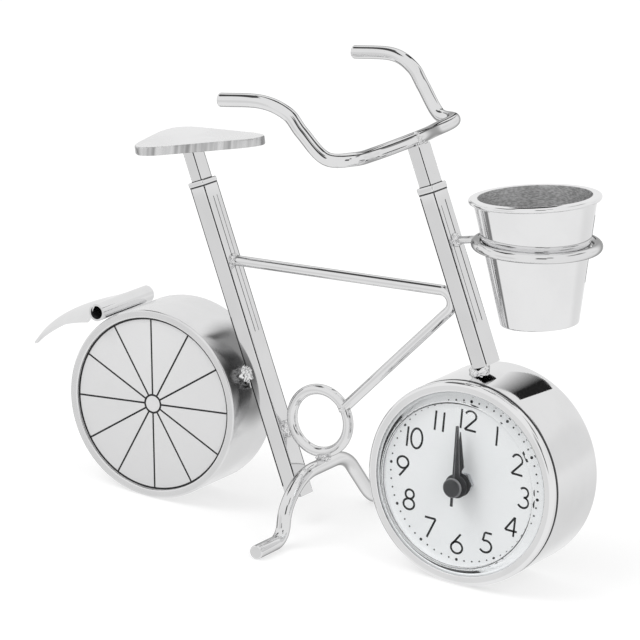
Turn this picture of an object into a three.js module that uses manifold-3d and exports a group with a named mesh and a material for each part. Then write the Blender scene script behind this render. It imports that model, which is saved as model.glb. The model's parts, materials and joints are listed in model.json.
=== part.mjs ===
// Bicycle-shaped desk clock: two drum wheels on a welded tube frame, a quartz clock in the front drum
// and a lift-out cup in a wire ring. Millimetres, +Z up, +X to the front of the bicycle, dial facing -Y.
import * as THREE from "three";
import { mergeVertices } from "three/addons/utils/BufferGeometryUtils.js";
import Module from "manifold-3d";

const wasm = await Module();
wasm.setup();

// Clearances
const seat = 0.3; // between pieces that are welded, pressed or clipped together
const running = 0.1; // between turning pieces

// Wheels
const rearRadius = 33;
const rearDepth = 26.4;
const frontRadius = 34.6;
const frontBack = 15.4; // rear rim of the front drum behind the frame's middle plane
const wheelBase = 121.6;
const drumWall = 0.9;
const rimBreak = 0.6; // small chamfer on the rims
const drumSides = 48;
const innerSides = 36; // of the round pieces inside the drums
const rimLip = 2.8; // width of the plain rim round the spoke disc
const discThickness = 0.8;
const backOpening = 27; // radius of the opening in the back of the front drum

// Frame tubes
const frameLean = THREE.MathUtils.degToRad(25.5);
const tubeAlong = 5.2; // outer tube, fore and aft
const tubeAcross = 8.6;
const tubeWall = 0.6;
const collarHeight = 2.2;
const collarProud = 0.2;
const insertion = 14; // length of each inner tube inside its outer tube
const rearWeldGap = 2.7; // from the rear drum to the seat tube
const rearWeldHalf = 5.5; // along the seat tube
const ringWeldHalf = 3;
const headWeldHalf = 2.6;
const headOffset = 13.4; // from the front hub forward to the head tube's axis
const seatTubeFoot = 11; // height of the seat tube's open lower end, cut level
const seatTubeAbove = 67; // along the seat tube, from its point nearest the hub
const saddleRise = 81.9;
const headTubeTop = 94;
const barRise = 112.3;
const barRoll = THREE.MathUtils.degToRad(1.3); // the far grip stands a little higher

// Rods
const barRadius = 2.15;
const frameRodRadius = 1.65;
const frameBend = 4;
const frameBarSeat = 39.8; // along the seat tube
const frameBarHead = 58.7; // along the head tube
const frameBarGap = 0.5; // from the bend to the head tube, filled by weld
const frameBarAim = 2.6; // of the lower leg, below the ring's centre along the seat tube
const ringRadius = 10.9;
const ringWeldGap = 1.65; // from the seat tube to the crank ring
const ringDrop = 20.8; // along the seat tube
const standRadius = 2.2;
const standAngle = THREE.MathUtils.degToRad(11.6); // of the stand's contact, forward of the ring's bottom
const standTop = 14; // half the stand's top run
const standKnee = 24.4; // the near leg from the middle plane
const standKneeDrop = 8.7;
const standFarKnee = 36; // the far leg slopes straight to its foot
const standFoot = 41.5;
const standBend = 3.2;

// Saddle
const saddleThickness = 3;
const saddleTilt = THREE.MathUtils.degToRad(10.9);
const saddleRoll = THREE.MathUtils.degToRad(3.6); // the far side sits a little higher
const saddleYaw = THREE.MathUtils.degToRad(4.2); // the nose points a little to the far side
const saddleBehind = 16.1; // from the post to the rear edge
const saddleAhead = 36.9; // from the post to the nose before it is rounded
const saddleHalf = 18.9; // to the rear corners before they are rounded
const saddleCorner = 9.8;
const saddleNose = 6.6;

// Cup and its ring
const cupLean = THREE.MathUtils.degToRad(8.5);
const cupReach = 30.9; // from the head tube's axis forward to the ring's centre
const cupRise = 68.2; // along the head tube
const cupHeight = 42.3;
const cupAboveRing = 16;
const cupTopRadius = 21;
const cupBaseRadius = 13.4;
const cupLip = 1.6;
const cupWall = 1;
const cupWire = 1.7;

// Mudguard
const guardAngle = THREE.MathUtils.degToRad(129); // place on the rear drum, from +X
const guardRoll = 3; // outer radius of the rolled end
const guardSheet = 0.7;
const guardHalf = 16;
const guardLeave = THREE.MathUtils.degToRad(114); // where the tail leaves the roll, from +X
const guardLength = 32.5;
const guardFall = 24.1; // of the tail's tip below its start
const guardElbow = 25; // the tail's bend, back from its start
const guardElbowFall = 9.5;
const guardArch = 6; // droop of the tail's edges where it starts
const guardEase = 0.06; // share of the tail over which the droop begins
const guardTaper = 1.4; // how quickly the tail narrows
const guardFlatten = 0.8; // how quickly the droop fades
const guardTip = 1; // half the width of the tail's end

// Clock, along Y from the front of the bezel
const bezelFront = -16.6;
const bezelLip = 0.45;
const bezelBand = 3.6;
const bezelSkirt = 6;
const skirtThickness = 1.2;
const spacerWidth = 1.6;
const retainerWidth = 2.5;
const bezelWidth = 3.4; // from the drum's outside to the opening
const lensFlange = 1;
const lensWall = 1;
const lensInset = 2.6; // from the bezel's opening to where the dome starts
const lensBevel = 1.7; // height of the bevel
const lensDome = 7.5;
const domeSteps = 4;
const dialDepth = 3.6; // from the front of the bezel
const dialThickness = 0.5;
const handThickness = 0.25;
const hourHeight = 2.9; // of the back of each hand above the dial
const minuteHeight = 5.4;
const secondHeight = 7.7;
const capThickness = 0.5;
const capRadius = 3.3;
const bossRadius = 4;
const nutHeight = 1.4;
const nutRadius = 3.7;
const plateThickness = 1.2;
const movementRadius = 21;
const movementWall = 1.2;
const layerThickness = 0.8;
const magnetLength = 1.8;
const retainerDepth = 5;

// Hands
const hourLength = 17.7;
const minuteLength = 20.4;
const secondLength = 21;
const secondTail = 6.3;
const hourRest = THREE.MathUtils.degToRad(-4.9); // clockwise from twelve
const minuteRest = THREE.MathUtils.degToRad(-4);
const secondRest = THREE.MathUtils.degToRad(-1.9);

// Wheel work: pinion radii, and how many turns each pinion makes for one turn of its wheel
const secondShaft = 0.5;
const pipeWall = 0.6;
const cannonRadius = 1.9;
const motionRatio = 3;
const motionPinion = 1.5;
const hourRatio = 4;
const rotorPinion = 1.2;
const middleRatio = 5;
const middlePinion = 1.05;
const secondRatio = 6;
const secondPinion = 0.85;
const thirdRatio = 7.5;
const thirdPinion = 0.8;
const centreRatio = 8;
const toothDepth = 0.09; // of the radius
const pinionDepth = 0.2;
const overlap = 0.02; // where a pinion runs into its own wheel
const magnetRadius = 2.8;
const arborRadius = 0.45;
const wheelTeeth = 14;
const pinionTeeth = 6;
const motionAngle = THREE.MathUtils.degToRad(200);
const thirdAngle = THREE.MathUtils.degToRad(60);
const middleAngle = THREE.MathUtils.degToRad(300);
const rotorAngle = THREE.MathUtils.degToRad(10);

// Cell, knob and drive
const cellRadius = 5.8;
const cellThickness = 5.4;
const cellX = -9.5;
const cellZ = 8.5;
const stripThickness = 0.3;
const doorFlange = 1; // thickness
const doorPlay = 0.6; // of the door's plug round the cell
const doorRim = 0.9;
const knobRadius = 3.4;
const knobThickness = 2.4;
const knobTeeth = 16;
const coilRadius = 2.4;
const coilLength = 12;
const coilZ = -15.6;
const statorThickness = 0.6;
const boardThickness = 0.8;
const boardWidth = 13;
const boardHeight = 12.1;
const boardX = -2.5; // its edge beside the centre
const boardZ = 1.6; // its upper edge
const boardCorner = 3; // sideways cut at the lower corner
const screwHead = 1.7;

// Materials
const finish = (color, roughness, metalness) =>
  new THREE.MeshStandardMaterial({ color, roughness, metalness });
const chrome = finish(0xd6d8dc, 0.14, 1);
const satin = finish(0xc9cacd, 0.4, 0.9);
const spokeFace = finish(0xd8d8da, 0.55, 0.1);
const weldMetal = finish(0xa9aaad, 0.45, 0.9);
const dialWhite = finish(0xf4f4f2, 0.6, 0);
const handBlack = finish(0x26272a, 0.5, 0.2);
const clear = new THREE.MeshStandardMaterial({
  color: 0xf4f8fa, roughness: 0.05, metalness: 0, transparent: true, opacity: 0.25,
});
const blackPlastic = finish(0x1d1e20, 0.6, 0);
const brass = finish(0xc8a24a, 0.35, 1);
const steel = finish(0xb9bcc0, 0.3, 1);
const copper = finish(0xb4693a, 0.4, 1);
const boardGreen = finish(0x2f5d3a, 0.6, 0);

// Solids

// A welded geometry: shared vertices merged, flat triangles dropped, faces pointing out.
function weld(source) {
  const bare = new THREE.BufferGeometry();
  bare.setAttribute("position", source.getAttribute("position").clone());
  if (source.index) bare.setIndex(source.index.clone());
  const merged = mergeVertices(bare, 1e-4);
  const at = merged.getAttribute("position");
  const index = merged.index.array;
  const kept = [];
  let volume = 0;
  const [a, b, c] = [new THREE.Vector3(), new THREE.Vector3(), new THREE.Vector3()];
  for (let i = 0; i < index.length; i += 3) {
    const [p, q, r] = [index[i], index[i + 1], index[i + 2]];
    if (p === q || q === r || r === p) continue;
    a.fromBufferAttribute(at, p);
    b.fromBufferAttribute(at, q);
    c.fromBufferAttribute(at, r);
    volume += a.dot(b.cross(c));
    kept.push([p, q, r]);
  }
  merged.setIndex(kept.flatMap(([p, q, r]) => (volume > 0 ? [p, q, r] : [p, r, q])));
  return merged;
}

function toSolid(geometry) {
  const source = weld(geometry);
  return new wasm.Manifold(new wasm.Mesh({
    numProp: 3,
    vertProperties: new Float32Array(source.getAttribute("position").array),
    triVerts: new Uint32Array(source.index.array),
  }));
}

function fromSolid(solid) {
  const mesh = solid.getMesh();
  const geometry = new THREE.BufferGeometry();
  geometry.setAttribute("position", new THREE.BufferAttribute(new Float32Array(mesh.vertProperties), 3));
  geometry.setIndex(new THREE.BufferAttribute(new Uint32Array(mesh.triVerts), 1));
  return geometry;
}

const join = (first, ...others) =>
  fromSolid(others.reduce((sum, other) => sum.add(toSolid(other)), toSolid(first)));
const cut = (first, ...others) =>
  fromSolid(others.reduce((rest, other) => rest.subtract(toSolid(other)), toSolid(first)));

// A turned piece about Y from points [radius, y], with a flat facet underneath.
function turned(profile, sides = drumSides) {
  const points = profile.map(([radius, y]) => new THREE.Vector2(radius, y));
  return weld(new THREE.LatheGeometry(points, sides, Math.PI / sides));
}

const ringOf = (outer, inner, front, back, sides) =>
  turned([[outer, front], [outer, back], [inner, back], [inner, front], [outer, front]], sides);
const discOf = (radius, front, back, sides) =>
  turned([[0, front], [radius, front], [radius, back], [0, back]], sides);

// A flat outline in X and Z made solid between two depths along Y.
function slab(shape, front, back) {
  const geometry = new THREE.ExtrudeGeometry(shape, {
    depth: back - front, bevelEnabled: false, curveSegments: 12,
  });
  geometry.rotateX(Math.PI / 2);
  geometry.translate(0, back, 0);
  return weld(geometry);
}

// A toothed outline: four points for each tooth between the tip and root circles.
function gearShape(tip, teeth, share = toothDepth) {
  const root = tip * (1 - share);
  const points = [];
  for (let k = 0; k < teeth; k++) {
    for (const [turn, radius] of [[0, root], [0.25, tip], [0.5, tip], [0.75, root]]) {
      const angle = (2 * Math.PI * (k + turn)) / teeth;
      points.push(new THREE.Vector2(radius * Math.cos(angle), radius * Math.sin(angle)));
    }
  }
  return new THREE.Shape(points);
}

// A straight round bar along Y between two depths.
const pin = (radius, front, back, sides = 12) => discOf(radius, front, back, sides);

// A path through a list of points, stepped from point to point.
class PointPath extends THREE.Curve {
  constructor(points) {
    super();
    this.points = points;
  }

  getPoint(t, target = new THREE.Vector3()) {
    const place = t * (this.points.length - 1);
    const k = Math.min(Math.floor(place), this.points.length - 2);
    return target.lerpVectors(this.points[k], this.points[k + 1], place - k);
  }

  getUtoTmapping(u) {
    return u;
  }
}

// A closed round rod through a list of points.
function rod(points, radius, sides = 8) {
  const section = new THREE.Shape();
  for (let k = 0; k < sides; k++) {
    const angle = (2 * Math.PI * (k + 0.5)) / sides;
    const [x, y] = [radius * Math.cos(angle), radius * Math.sin(angle)];
    if (k === 0) section.moveTo(x, y);
    else section.lineTo(x, y);
  }
  section.closePath();
  return weld(new THREE.ExtrudeGeometry(section, {
    extrudePath: new PointPath(points), steps: points.length - 1, bevelEnabled: false,
  }));
}

// Straight runs between points, each inner corner rounded to an arc.
function bent(points, bend, arcSteps = 5) {
  const path = [points[0]];
  for (let k = 1; k < points.length - 1; k++) {
    const corner = points[k];
    const back = points[k - 1].clone().sub(corner).normalize();
    const onward = points[k + 1].clone().sub(corner).normalize();
    const half = back.angleTo(onward) / 2;
    const inwards = back.clone().add(onward).normalize();
    const centre = corner.clone().addScaledVector(inwards, bend / Math.sin(half));
    const start = corner.clone().addScaledVector(back, bend / Math.tan(half)).sub(centre);
    const axis = back.clone().cross(onward).normalize();
    for (let i = 0; i <= arcSteps; i++) {
      const turn = ((2 * half - Math.PI) * i) / arcSteps;
      path.push(start.clone().applyAxisAngle(axis, turn).add(centre));
    }
  }
  path.push(points[points.length - 1]);
  return path;
}

function roundedPolygon(corners, radii) {
  const shape = new THREE.Shape();
  corners.forEach((corner, k) => {
    const before = corners[(k + corners.length - 1) % corners.length];
    const after = corners[(k + 1) % corners.length];
    const towards = before.clone().sub(corner).normalize();
    const away = after.clone().sub(corner).normalize();
    const half = Math.acos(towards.dot(away)) / 2;
    const reach = radii[k] / Math.tan(half);
    const start = corner.clone().addScaledVector(towards, reach);
    const end = corner.clone().addScaledVector(away, reach);
    if (k === 0) shape.moveTo(start.x, start.y);
    else shape.lineTo(start.x, start.y);
    shape.quadraticCurveTo(corner.x, corner.y, end.x, end.y);
  });
  shape.closePath();
  return shape;
}

function mesh(name, geometry, material) {
  const piece = new THREE.Mesh(geometry, material);
  piece.name = name;
  return piece;
}

// Frame lines: each tube's axis lies in the middle plane, leaning back by frameLean.
const flat = Math.cos(Math.PI / drumSides); // the drums stand on a facet
const rearHub = new THREE.Vector3(0, 0, rearRadius * flat);
const frontHub = new THREE.Vector3(wheelBase, 0, frontRadius * flat);
const upTube = new THREE.Vector3(-Math.sin(frameLean), 0, Math.cos(frameLean));
const ahead = new THREE.Vector3(Math.cos(frameLean), 0, Math.sin(frameLean));
const seatFoot = rearHub.clone().addScaledVector(ahead, rearRadius + rearWeldGap + tubeAlong / 2);
const headFoot = frontHub.clone().addScaledVector(ahead, headOffset);
const onLine = (foot, along, out) => foot.clone().addScaledVector(upTube, along).addScaledVector(ahead, out);
const onSeat = (along, out = 0) => onLine(seatFoot, along, out);
const onHead = (along, out = 0) => onLine(headFoot, along, out);

// A rectangular bar or tube along a frame line between two distances.
function boxAlong(foot, from, to, along, across) {
  const geometry = new THREE.BoxGeometry(along, across, to - from);
  geometry.translate(0, 0, (from + to) / 2);
  geometry.rotateY(-frameLean);
  geometry.translate(foot.x, foot.y, foot.z);
  return geometry;
}

function tubeAlongLine(foot, from, to, along, across, wall) {
  const bore = boxAlong(foot, from - 1, to + 1, along - 2 * wall, across - 2 * wall);
  return cut(boxAlong(foot, from, to, along, across), bore);
}

const tubeGuard = (foot) =>
  boxAlong(foot, -200, 200, tubeAlong + 2 * seat, tubeAcross + 2 * seat);
const innerAlong = tubeAlong - 2 * tubeWall - 2 * running;
const innerAcross = tubeAcross - 2 * tubeWall - 2 * running;

function drumGuard(hub, radius) {
  const geometry = discOf(radius + seat, -100, 100);
  geometry.translate(hub.x, 0, hub.z);
  return geometry;
}

// Frame, saddle, bars and stand

function collar(foot, at) {
  const proud = 2 * collarProud;
  const outer = boxAlong(foot, at, at + collarHeight, tubeAlong + proud, tubeAcross + proud);
  return cut(outer, boxAlong(foot, at - 1, at + collarHeight + 1, innerAlong + 2 * running,
    innerAcross + 2 * running));
}

function saddlePlate(extra = 0) {
  const outline = roundedPolygon([
    new THREE.Vector2(-saddleBehind, -saddleHalf),
    new THREE.Vector2(saddleAhead, 0),
    new THREE.Vector2(-saddleBehind, saddleHalf),
  ], [saddleCorner, saddleNose, saddleCorner]);
  const geometry = new THREE.ExtrudeGeometry(outline, {
    depth: saddleThickness + 2 * extra, bevelEnabled: false, curveSegments: 8,
  });
  geometry.translate(0, 0, -saddleThickness / 2 - extra);
  return weld(onSaddle(geometry));
}

// Turns a shape made flat about the post's top to the saddle's own angles.
function onSaddle(geometry) {
  geometry.rotateZ(saddleYaw).rotateX(saddleRoll).rotateY(-saddleTilt);
  const place = onSeat(saddleRise);
  return geometry.translate(place.x, 0, place.z);
}

function frameParts() {
  const lowEnd = (seatFoot.z - seatTubeFoot + tubeAlong) / Math.cos(frameLean);
  const level = new THREE.BoxGeometry(wheelBase, wheelBase, wheelBase);
  level.translate(wheelBase / 2, 0, seatTubeFoot - wheelBase / 2);
  const seatTube = cut(
    tubeAlongLine(seatFoot, -lowEnd, seatTubeAbove, tubeAlong, tubeAcross, tubeWall),
    level,
  );
  const headTube = cut(
    tubeAlongLine(headFoot, 0, headTubeTop, tubeAlong, tubeAcross, tubeWall),
    drumGuard(frontHub, frontRadius),
  );
  const collarSeat = seatTubeAbove + running;
  const collarHead = headTubeTop + running;
  const postTop = saddleRise + saddleThickness;
  const seatPost = cut(
    boxAlong(seatFoot, seatTubeAbove - insertion, postTop, innerAlong, innerAcross),
    saddlePlate(seat),
    saddlePlateAbove(),
  );
  const stemTop = barRise - barRadius - seat;
  const stem = boxAlong(headFoot, headTubeTop - insertion, stemTop, innerAlong, innerAcross);
  return [
    mesh("seat_tube", seatTube, chrome),
    mesh("seat_collar", collar(seatFoot, collarSeat), chrome),
    mesh("seat_post", seatPost, chrome),
    mesh("saddle", saddlePlate(), satin),
    mesh("head_tube", headTube, chrome),
    mesh("head_collar", collar(headFoot, collarHead), chrome),
    mesh("stem", weld(stem), chrome),
  ];
}

// Everything above the saddle's middle, for trimming the seat post.
function saddlePlateAbove() {
  const reach = 4 * tubeAcross;
  const geometry = new THREE.BoxGeometry(reach, reach, reach);
  geometry.translate(0, 0, reach / 2);
  return onSaddle(geometry);
}

// The handlebar's right half from the stem to the grip: back, out and up from the stem's top.
const barHalf = [[0, 0, 0], [4, 19.8, -2], [4.3, 33.3, -1.2], [12.4, 37.6, -1.7], [20.4, 40.2, 5.8],
  [25.8, 41.2, 11.3], [34.8, 42.9, 13.8], [50, 43.4, 11.6]];

function handlebar() {
  const centre = onHead(barRise);
  const side = (sign) => barHalf.map(([back, out, up]) =>
    new THREE.Vector3(centre.x - back, sign * out, centre.z + up));
  const curve = new THREE.CatmullRomCurve3([...side(-1).reverse(), ...side(1).slice(1)]);
  const bar = rod(curve.getSpacedPoints(40), barRadius);
  bar.translate(0, 0, -centre.z);
  bar.rotateX(barRoll);
  return bar.translate(0, 0, centre.z);
}

const ringCentre = onSeat(-ringDrop, tubeAlong / 2 + ringWeldGap + frameRodRadius + ringRadius);

function crankRing(grow = 0) {
  const geometry = new THREE.TorusGeometry(ringRadius, frameRodRadius + grow, 8, 28);
  geometry.rotateX(Math.PI / 2);
  geometry.translate(ringCentre.x, 0, ringCentre.z);
  return weld(geometry);
}

// A V of rod: from the seat tube to a bend against the head tube, and back down to the crank ring.
function frameBar() {
  const start = onSeat(frameBarSeat);
  const touch = onHead(frameBarHead, -tubeAlong / 2 - frameBarGap - frameRodRadius);
  const aim = ringCentre.clone().addScaledVector(upTube, -frameBarAim);
  const corner = touch.clone();
  let towardsRing;
  // The legs' angle depends on the corner outside the bend, which a few rounds settle.
  for (let round = 0; round < 5; round++) {
    const towardsSeat = start.clone().sub(corner).normalize();
    towardsRing = aim.clone().sub(corner).normalize();
    const half = towardsSeat.angleTo(towardsRing) / 2;
    const inwards = towardsSeat.clone().add(towardsRing).normalize();
    corner.copy(touch).addScaledVector(inwards, frameBend - frameBend / Math.sin(half));
  }
  const nearest = aim.clone().addScaledVector(towardsRing, ringCentre.clone().sub(aim).dot(towardsRing));
  const aside = nearest.distanceTo(ringCentre);
  const end = nearest.clone().addScaledVector(towardsRing, -Math.sqrt(ringRadius ** 2 - aside ** 2));
  const solid = rod(bent([start, corner, end], frameBend, 8), frameRodRadius);
  return cut(solid, tubeGuard(seatFoot), tubeGuard(headFoot), crankRing(seat));
}

function stand() {
  const drop = ringRadius + frameRodRadius + standRadius + seat;
  const x = ringCentre.x + drop * Math.sin(standAngle);
  const top = ringCentre.z - drop * Math.cos(standAngle);
  const near = [
    [-standFoot, standRadius], [-standKnee, standRadius], [-standKnee, top - standKneeDrop], [-standTop, top],
  ];
  const far = [[standTop, top], [standFarKnee, standRadius], [standFoot, standRadius]];
  const points = [...near, ...far].map(([y, z]) => new THREE.Vector3(x, y, z));
  return rod(bent(points, standBend), standRadius);
}

// Weld metal between a tube and a round neighbour.
function weldBead(centre, radii, ...neighbours) {
  const bead = new THREE.SphereGeometry(1, 12, 8);
  bead.scale(...radii);
  bead.rotateY(-frameLean);
  bead.translate(centre.x, centre.y, centre.z);
  return cut(bead, ...neighbours);
}

function rodParts() {
  const rearGap = onSeat(0, -(tubeAlong + rearWeldGap) / 2);
  const ringGap = onSeat(-ringDrop, (tubeAlong + ringWeldGap) / 2);
  const headOut = -(tubeAlong + headWeldHalf) / 2;
  const headGap = onHead(Math.sqrt(frontRadius ** 2 - (headOffset + headOut) ** 2), headOut);
  const beadHalf = tubeAcross / 2 - seat;
  return [
    mesh("handlebar", handlebar(), chrome),
    mesh("crank_ring", crankRing(), chrome),
    mesh("frame_bar", frameBar(), chrome),
    mesh("stand", stand(), chrome),
    mesh("rear_weld", weldBead(rearGap, [rearWeldGap, beadHalf, rearWeldHalf], tubeGuard(seatFoot),
      drumGuard(rearHub, rearRadius)), weldMetal),
    mesh("head_weld", weldBead(headGap, [headWeldHalf, beadHalf, headWeldHalf], tubeGuard(headFoot),
      drumGuard(frontHub, frontRadius)), weldMetal),
    mesh("ring_weld", weldBead(ringGap, [ringWeldGap, frameRodRadius, ringWeldHalf], tubeGuard(seatFoot),
      crankRing(seat)), weldMetal),
  ];
}

// Cup and wire ring: built upright about the ring's centre, then leaned back together.

function cupGroup() {
  const wallSlope = (cupTopRadius - cupBaseRadius) / cupHeight;
  const bodyAtRing = cupTopRadius - wallSlope * (cupAboveRing - cupWire);
  const wireRadius = bodyAtRing + seat + cupWire;
  const top = cupAboveRing;
  const base = top - cupHeight;
  const wire = new THREE.TorusGeometry(wireRadius, cupWire, 8, 32);
  const armReach = cupReach / Math.cos(frameLean - cupLean);
  const arm = new THREE.CylinderGeometry(cupWire, cupWire, armReach - wireRadius, 8);
  arm.rotateZ(Math.PI / 2);
  arm.translate(-(armReach + wireRadius) / 2, 0, 0);
  const centre = onHead(cupRise, cupReach);
  const place = (geometry) => geometry.rotateY(-cupLean).translate(centre.x, 0, centre.z);
  const wireWithArm = cut(join(place(wire), place(arm)), tubeGuard(headFoot));

  const lip = cupTopRadius + cupLip;
  const cupSolid = turned([
    [0, base], [cupBaseRadius - cupWall, base], [cupBaseRadius, base + cupWall],
    [cupTopRadius, top - cupLip], [lip, top - cupLip], [lip, top - 0.3 * cupLip], [lip - 0.3 * cupLip, top],
    [cupTopRadius - cupWall, top], [cupBaseRadius - cupWall, base + 2 * cupWall], [0, base + 2 * cupWall],
  ], 32);
  cupSolid.rotateX(Math.PI / 2);
  return [
    mesh("cup_ring", wireWithArm, chrome),
    mesh("cup", weld(place(cupSolid)), chrome),
  ];
}

// Mudguard: one sheet, rolled into a tube where it sits on the drum, its tail arched and tapering to a tip.

function mudguard() {
  const away = rearRadius + guardRoll + seat;
  const centre = new THREE.Vector3(
    rearHub.x + away * Math.cos(guardAngle), 0, rearHub.z + away * Math.sin(guardAngle));
  const roll = ringOf(guardRoll, guardRoll - guardSheet, -guardHalf, guardHalf, 20);
  roll.translate(centre.x, 0, centre.z);
  const sheetMiddle = guardRoll - guardSheet / 2;
  const startX = centre.x + sheetMiddle * Math.cos(guardLeave);
  const startZ = centre.z + sheetMiddle * Math.sin(guardLeave);
  const [rows, columns] = [9, 6];
  const points = [];
  const index = [];
  for (const face of [0, 1]) {
    for (let i = 0; i <= rows; i++) {
      const u = i / rows;
      const taper = (1 - u) ** guardTaper;
      const half = guardTip + (guardHalf - guardTip) * taper;
      const bend = 2 * u * (1 - u);
      const x = startX - bend * guardElbow - u * u * guardLength;
      const drop = bend * guardElbowFall + u * u * guardFall;
      const crown = startZ - guardSheet * face - drop;
      const arch = guardArch * Math.min(1, u / guardEase) * (1 - u) ** guardFlatten;
      for (let j = 0; j <= columns; j++) {
        const v = (2 * j) / columns - 1;
        points.push(x, v * half, crown - arch * v * v);
      }
    }
  }
  const at = (face, i, j) => (face * (rows + 1) + i) * (columns + 1) + j;
  const quad = (a, b, c, d) => index.push(a, b, c, a, c, d);
  for (let i = 0; i < rows; i++) {
    for (let j = 0; j < columns; j++) {
      quad(at(0, i, j), at(0, i + 1, j), at(0, i + 1, j + 1), at(0, i, j + 1));
      quad(at(1, i, j), at(1, i, j + 1), at(1, i + 1, j + 1), at(1, i + 1, j));
    }
    quad(at(0, i, 0), at(1, i, 0), at(1, i + 1, 0), at(0, i + 1, 0));
    quad(at(0, i, columns), at(0, i + 1, columns), at(1, i + 1, columns), at(1, i, columns));
  }
  for (let j = 0; j < columns; j++) {
    quad(at(0, 0, j), at(0, 0, j + 1), at(1, 0, j + 1), at(1, 0, j));
    quad(at(0, rows, j), at(1, rows, j), at(1, rows, j + 1), at(0, rows, j + 1));
  }
  const leaf = new THREE.BufferGeometry();
  leaf.setAttribute("position", new THREE.Float32BufferAttribute(points, 3));
  leaf.setIndex(index);
  const bore = pin(guardRoll - guardSheet, -guardHalf - 1, guardHalf + 1, 20);
  bore.translate(centre.x, 0, centre.z);
  return cut(join(roll, leaf), bore, drumGuard(rearHub, rearRadius));
}

// Rear wheel

function rearWheel() {
  const group = new THREE.Group();
  group.position.copy(rearHub);
  const half = rearDepth / 2;
  const inside = rearRadius - drumWall;
  const lip = rearRadius - rimLip;
  const drum = turned([
    [rearRadius, -half + rimBreak], [rearRadius, half], [inside, half], [inside, -half + drumWall],
    [lip, -half + drumWall], [lip, -half], [rearRadius - rimBreak, -half], [rearRadius, -half + rimBreak],
  ]);
  const discFront = -half + drumWall + running;
  group.add(
    mesh("rear_drum", drum, chrome),
    mesh("spoke_disc", discOf(inside - seat, discFront, discFront + discThickness), spokeFace),
    mesh("rear_back_plate", discOf(inside - seat, half - drumWall, half), chrome),
  );
  return group;
}

// Front wheel: drum, bezel, lens, dial and hands

const drumInside = frontRadius - drumWall;
const bezelInside = frontRadius - bezelWidth;
const lensShoulder = bezelInside - lensInset;
const bezelBack = bezelFront + bezelBand;
const lensFront = bezelFront + bezelLip + running;
const lensBack = lensFront + lensFlange;
const dialFront = bezelFront + dialDepth;
const secondFront = dialFront - secondHeight - handThickness;
const minuteFront = dialFront - minuteHeight - handThickness;
const hourFront = dialFront - hourHeight - handThickness;
const dialBack = dialFront + dialThickness;
const plateFront = dialBack + running;
const plateBack = plateFront + plateThickness;
const skirtOuter = drumInside - seat;
const skirtInner = skirtOuter - skirtThickness;
const glassRadius = skirtInner - seat;

// A clear shell: a flange behind the bezel's lip, a bevelled shoulder and a dome over the hands.
function lens() {
  const shoulder = lensFront - lensBevel;
  const dome = (radius, height, base) => {
    const arc = [];
    for (let k = 0; k < domeSteps; k++) {
      const angle = (Math.PI / 2) * (k / domeSteps);
      arc.push([radius * Math.cos(angle), base - height * Math.sin(angle)]);
    }
    return [...arc, [0, base - height]];
  };
  const flangeInside = bezelInside - seat;
  const outer = [[flangeInside, lensFront], ...dome(lensShoulder, lensDome, shoulder)];
  const inner = [
    [flangeInside - lensWall, lensBack], ...dome(lensShoulder - lensWall, lensDome - lensWall, shoulder),
  ];
  return turned([
    [glassRadius, lensBack], [glassRadius, lensFront], ...outer, ...inner.reverse(), [glassRadius, lensBack],
  ], innerSides);
}

function caseParts() {
  const back = frontBack;
  const drum = turned([
    [frontRadius, bezelBack + seat], [frontRadius, back - rimBreak], [frontRadius - rimBreak, back],
    [backOpening, back], [backOpening, back - drumWall], [drumInside, back - drumWall],
    [drumInside, bezelBack + seat], [frontRadius, bezelBack + seat],
  ]);
  const lipBack = bezelFront + bezelLip;
  const bezel = turned([
    [frontRadius, bezelBack], [frontRadius, bezelFront + 2 * rimBreak],
    [frontRadius - 2 * rimBreak, bezelFront], [bezelInside + rimBreak, bezelFront],
    [bezelInside, lipBack], [skirtInner, lipBack],
    [skirtInner, bezelBack + bezelSkirt], [skirtOuter, bezelBack + bezelSkirt],
    [skirtOuter, bezelBack], [frontRadius, bezelBack],
  ]);
  const spacerFront = lensBack + running;
  const nutBack = dialFront - running;
  const retainerFront = dialBack + running;
  return [
    mesh("front_drum", drum, chrome),
    mesh("bezel", bezel, chrome),
    mesh("lens", lens(), clear),
    mesh("dial_nut", ringOf(nutRadius, hourPipe + seat, nutBack - nutHeight, nutBack, 6), brass),
    mesh("dial_spacer", ringOf(glassRadius, glassRadius - spacerWidth, spacerFront, dialFront - running,
      innerSides), chrome),
    mesh("dial", ringOf(glassRadius, hourPipe + seat, dialFront, dialBack, innerSides), dialWhite),
    mesh("retaining_ring", ringOf(glassRadius, glassRadius - retainerWidth, retainerFront,
      retainerFront + retainerDepth, innerSides), blackPlastic),
  ];
}

// Pipes on the centre axis, one inside the next
const cannonBore = secondShaft + running;
const cannonPipe = cannonBore + pipeWall;
const hourBore = cannonPipe + running;
const hourPipe = hourBore + pipeWall;

// A hand's blade: its outline from the centre to the tip as [half width, distance].
function blade(outline, front) {
  const side = (sign) => outline.map(([half, along]) => new THREE.Vector2(sign * half, along));
  return slab(new THREE.Shape([...side(1), ...side(-1).reverse()]), front, front + handThickness);
}

// A hand on a pipe: a blade with a round boss and a bore.
function hand(outline, boreRadius, front, rest) {
  const back = front + handThickness;
  const whole = join(blade(outline, front), discOf(bossRadius, front, back, 20));
  return cut(whole, pin(boreRadius, front - 1, back + 1, 16)).rotateY(rest);
}

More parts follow.
